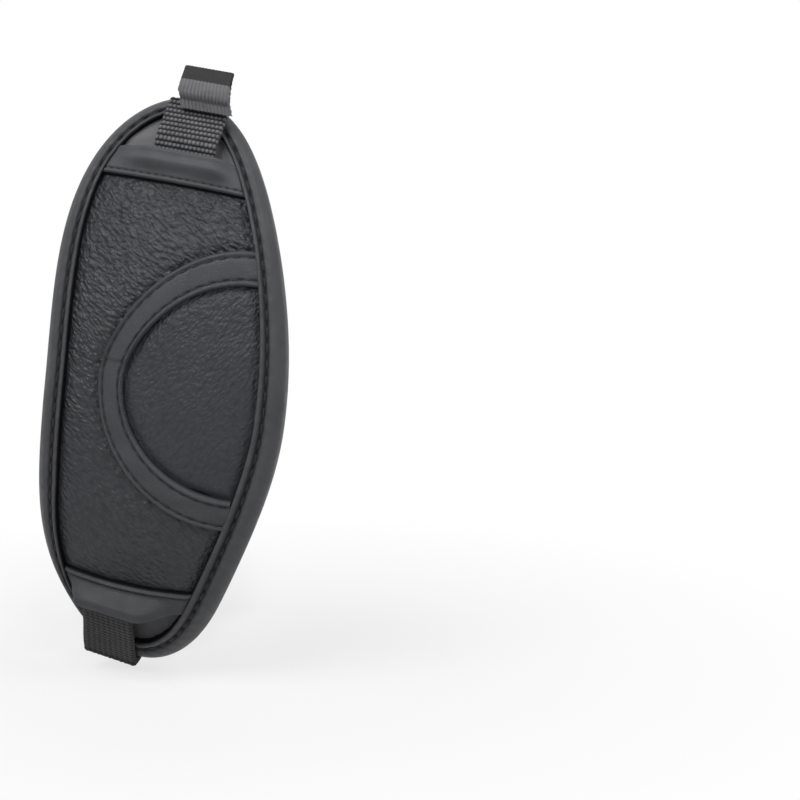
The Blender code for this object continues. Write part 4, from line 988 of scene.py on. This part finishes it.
for node, name, slot, seam_s, length, web_t, under, lean, colours in (
        ("upper_end_panel", "upper_smooth_panel", "upper_panel_leather", UPPER_SEAM_S,
         UPPER_PANEL_LENGTH, UPPER_WEB_T, upper_web_under, 0.0,
         ((0.048, 0.050, 0.054), (0.068, 0.070, 0.075))),
        # The lower panel is the same leather as the upper, its darker colours painted shade.
        ("lower_end_panel", "lower_smooth_panel", "lower_panel_leather", LOWER_SEAM_S,
         -LOWER_PANEL_LENGTH, LOWER_WEB_T, lower_web_under, LOWER_WEB_LEAN,
         ((0.034, 0.035, 0.038), (0.048, 0.049, 0.053)))):
    way = math.copysign(1.0, length)
    long = abs(length)
    away = np.unique(np.concatenate([[-0.0004, -0.0001], np.linspace(0, HEM, 30),
                                     np.linspace(HEM, long, 36),
                                     np.linspace(long - 0.0012, long, 16)]))
    row_s = seam_s + way * away
    left, right = leaf_side(row_s, -1, TOE - 0.0003), leaf_side(row_s, 1, TOE - 0.0003)
    s, t = fill_between(row_s, left, right, 150)
    off = away[:, None]
    tight = np.minimum(t - left[:, None], right[:, None] - t)
    nearest = np.minimum(off / 0.0005, (long - off) / 0.0006)
    roll = np.sqrt(1 - (1 - np.clip(nearest, 0, 1)) ** 2)
    beat = np.cos(2 * math.pi * (t - left[:, None]) / PANEL_STITCH_PITCH)
    groove = PANEL_GROOVE * dent(off, PANEL_STITCH_IN, 0.00022) * (1 + 0.25 * beat)
    creases = PANEL_CREASES * np.sin(900 * t + 350 * s) * dent(off, long / 2, long / 3)
    face = (foam_face(s, t) + OVER_LEATHER + panel_lift(s, t, seam_s, length, web_t, under, lean)
            + LEATHER * roll - PANEL_SEAM_SINK * (off < 0) + PANEL_LIP * dent(off, 0.0004, 0.0003)
            - groove + PANEL_FREE_ROLL * dent(long - off, 0.0006, 0.0005) + creases
            - PANEL_SIDE_SINK * dent(tight, 0, 0.0008))
    # Painted shade: the sunk lip beyond the seam and the ends tucked under the binding are dark,
    # and the stitch groove is darker.
    bright = ((1 - 0.35 * dent(off, PANEL_STITCH_IN, 0.00016)) * (off > 0)
              * (1 - 0.9 * (tight < 0.0004)))
    finish = smooth_leather(name + " leather", *colours, 0.6)
    panel = closed_sheet(name, s, t, face, LEATHER, finish, bright)
    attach(panel, "strap")
    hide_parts(node)
    stitch_s = seam_s + way * PANEL_STITCH_IN
    ends = [(stitch_s, leaf_side(stitch_s, side, TOE + 0.0004)) for side in (-1, 1)]
    row = stitch_row(name + "_stitches", ends,
                     lambda s, t: foam_face(s, t) + OVER_LEATHER + LEATHER - PANEL_STITCH_SINK
                     + panel_lift(s, t, seam_s, length, web_t, under, lean),
                     PANEL_STITCH_LENGTH, PANEL_STITCH_PITCH, PANEL_STITCH_WIDTH, STITCH_RISE,
                     thread_finish)
    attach(row, "strap")


# Base plate: a pressed and powder-coated plate, its front end narrowed to a nose with a slot and a
# recessed bar that the lower webbing loops round.
plate_finish, shader = new_finish("powder coat", (0.02, 0.02, 0.022), 0.5)
place = place_input(shader)
worn = noise_of(place, 60, 5, 0.6)
tint(shader, spread(worn, 0.35, 0.7), (0.017, 0.017, 0.019), (0.027, 0.027, 0.03),
     seam=None)
link(spread(worn, 0.3, 0.7, 0.42, 0.58), shader.inputs["Roughness"])
raise_by(shader, noise_of(place, 1400, 4, 0.6), 0.00006)


def finish_solid(node, finish):
    """Puts the finish on a solid that keeps its own form."""
    for part in bpy.data.objects[node].material_slots:
        part.material = finish


finish_solid("base_plate", plate_finish)


# Seat pad: moulded rubber glued on the plate, with fine cross ribs that grip what it is
# screwed to.
rubber_finish, shader = new_finish("seat rubber", (0.015, 0.015, 0.016), 0.8)
place = place_input(shader)
ribs = bands_of(place, 160, "Y")
dust = noise_of(place, 300, 5, 0.65)
tint(shader, spread(dust, 0.35, 0.75), (0.012, 0.012, 0.013), (0.028, 0.028, 0.029),
     seam=None)
raise_by(shader, together(ribs, dust), 0.00025)
finish_solid("seat_pad", rubber_finish)


# Tripod screw and its clip: turned steel, the head knurled and slotted for a coin, the shank cut
# with the standard quarter-inch thread.
steel_finish, shader = new_finish("turned steel", (0.55, 0.55, 0.56), 0.32, metallic=1.0)
turned = noise_of(place_input(shader, stretch=(1, 1, 14)), 500, 3, 0.6)
tint(shader, turned, (0.42, 0.42, 0.43), (0.62, 0.62, 0.63), seam=None)
link(spread(turned, 0.3, 0.7, 0.26, 0.42), shader.inputs["Roughness"])
raise_by(shader, turned, 0.00003)
finish_solid("tripod_screw", steel_finish)
finish_solid("screw_clip", steel_finish)


# Studio: a pale floor under the strap, a soft lamp high in front on the left, another high on the
# right and a wide low one in front, seen a little from above.
lowest = min(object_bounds()[0][2], cad_box[0][2])


def show_background(own, white, surface, share=1.0):
    """Gives the surface its own look, with share of white on the rays that show the background:
    the camera's, and those off metal and through glass."""
    path = new_node(own, "LightPath", {}).outputs
    seen = together(path["Is Camera Ray"], path["Is Glossy Ray"], "MAXIMUM")
    seen = together(seen, path["Is Transmission Ray"], "MAXIMUM")
    mix = new_node(own, "MixShader", {"Fac": together(seen, share, "MULTIPLY"), 1: own,
                                      2: white})
    link(mix.outputs["Shader"], surface)


floor_finish, shader = new_finish("pale floor", (0.65, 0.65, 0.65), 0.6)
place = place_input(shader)
raise_by(shader, noise_of(place, 30), 0.00002)
glow = new_node(shader, "Emission", {"Color": (1, 1, 1, 1), "Strength": 1.0})
away = new_node(shader, "VectorMath", {0: place, 1: (0.02, -0.08, lowest)}, operation="DISTANCE")
show_background(shader.outputs["BSDF"], glow.outputs["Emission"],
                floor_finish.node_tree.nodes["Material Output"].inputs["Surface"],
                spread(away.outputs["Value"], 0.05, 0.15, 0.75, 1.0))
corners = [(x, y, lowest) for x, y in ((-3, -3), (3, -3), (3, 3), (-3, 3))]
floor = make_piece("studio_floor", corners, [(0, 1, 2, 3)], floor_finish)

world = bpy.data.worlds.new("studio")
world.use_nodes = True
bpy.context.scene.world = world
tree = world.node_tree
tree.nodes.clear()
room = new_node(tree, "Background", {"Color": (0.9, 0.95, 1.0, 1), "Strength": 0.11})
white = new_node(tree, "Background", {"Color": (1, 1, 1, 1), "Strength": 1.0})
show_background(room.outputs["Background"], white.outputs["Background"],
                new_node(room, "OutputWorld", {}).inputs["Surface"])

target = np.array([0.02, -0.08, 0.05])
for name, place, size, power in (("key", (-0.30, -0.62, 0.80), 0.55, 9.5),
                                 ("right", (0.60, -0.45, 0.70), 0.55, 4.5),
                                 ("low", (-0.10, -1.00, 0.10), 0.90, 0.7)):
    lamp = bpy.data.lights.new(name, "AREA")
    lamp.shape = "SQUARE"
    lamp.size = size
    lamp.energy = power
    holder = bpy.data.objects.new(name, lamp)
    holder.location = place
    away = np.array(place) - target
    flat = math.hypot(away[0], away[1])
    holder.rotation_euler = (math.atan2(flat, away[2]), 0, math.atan2(away[0], -away[1]))
    bpy.context.scene.collection.objects.link(holder)

lens = bpy.data.cameras.new("view")
lens.lens = 112.5
lens.sensor_width = 36
lens.clip_start = 0.01
camera = bpy.data.objects.new("view", lens)
camera.location = (0.0595, -0.59165, 0.13031)
camera.rotation_euler = (math.radians(80), 0, 0)
bpy.context.scene.collection.objects.link(camera)
bpy.context.scene.camera = camera
bpy.context.scene.view_settings.view_transform = "Standard"
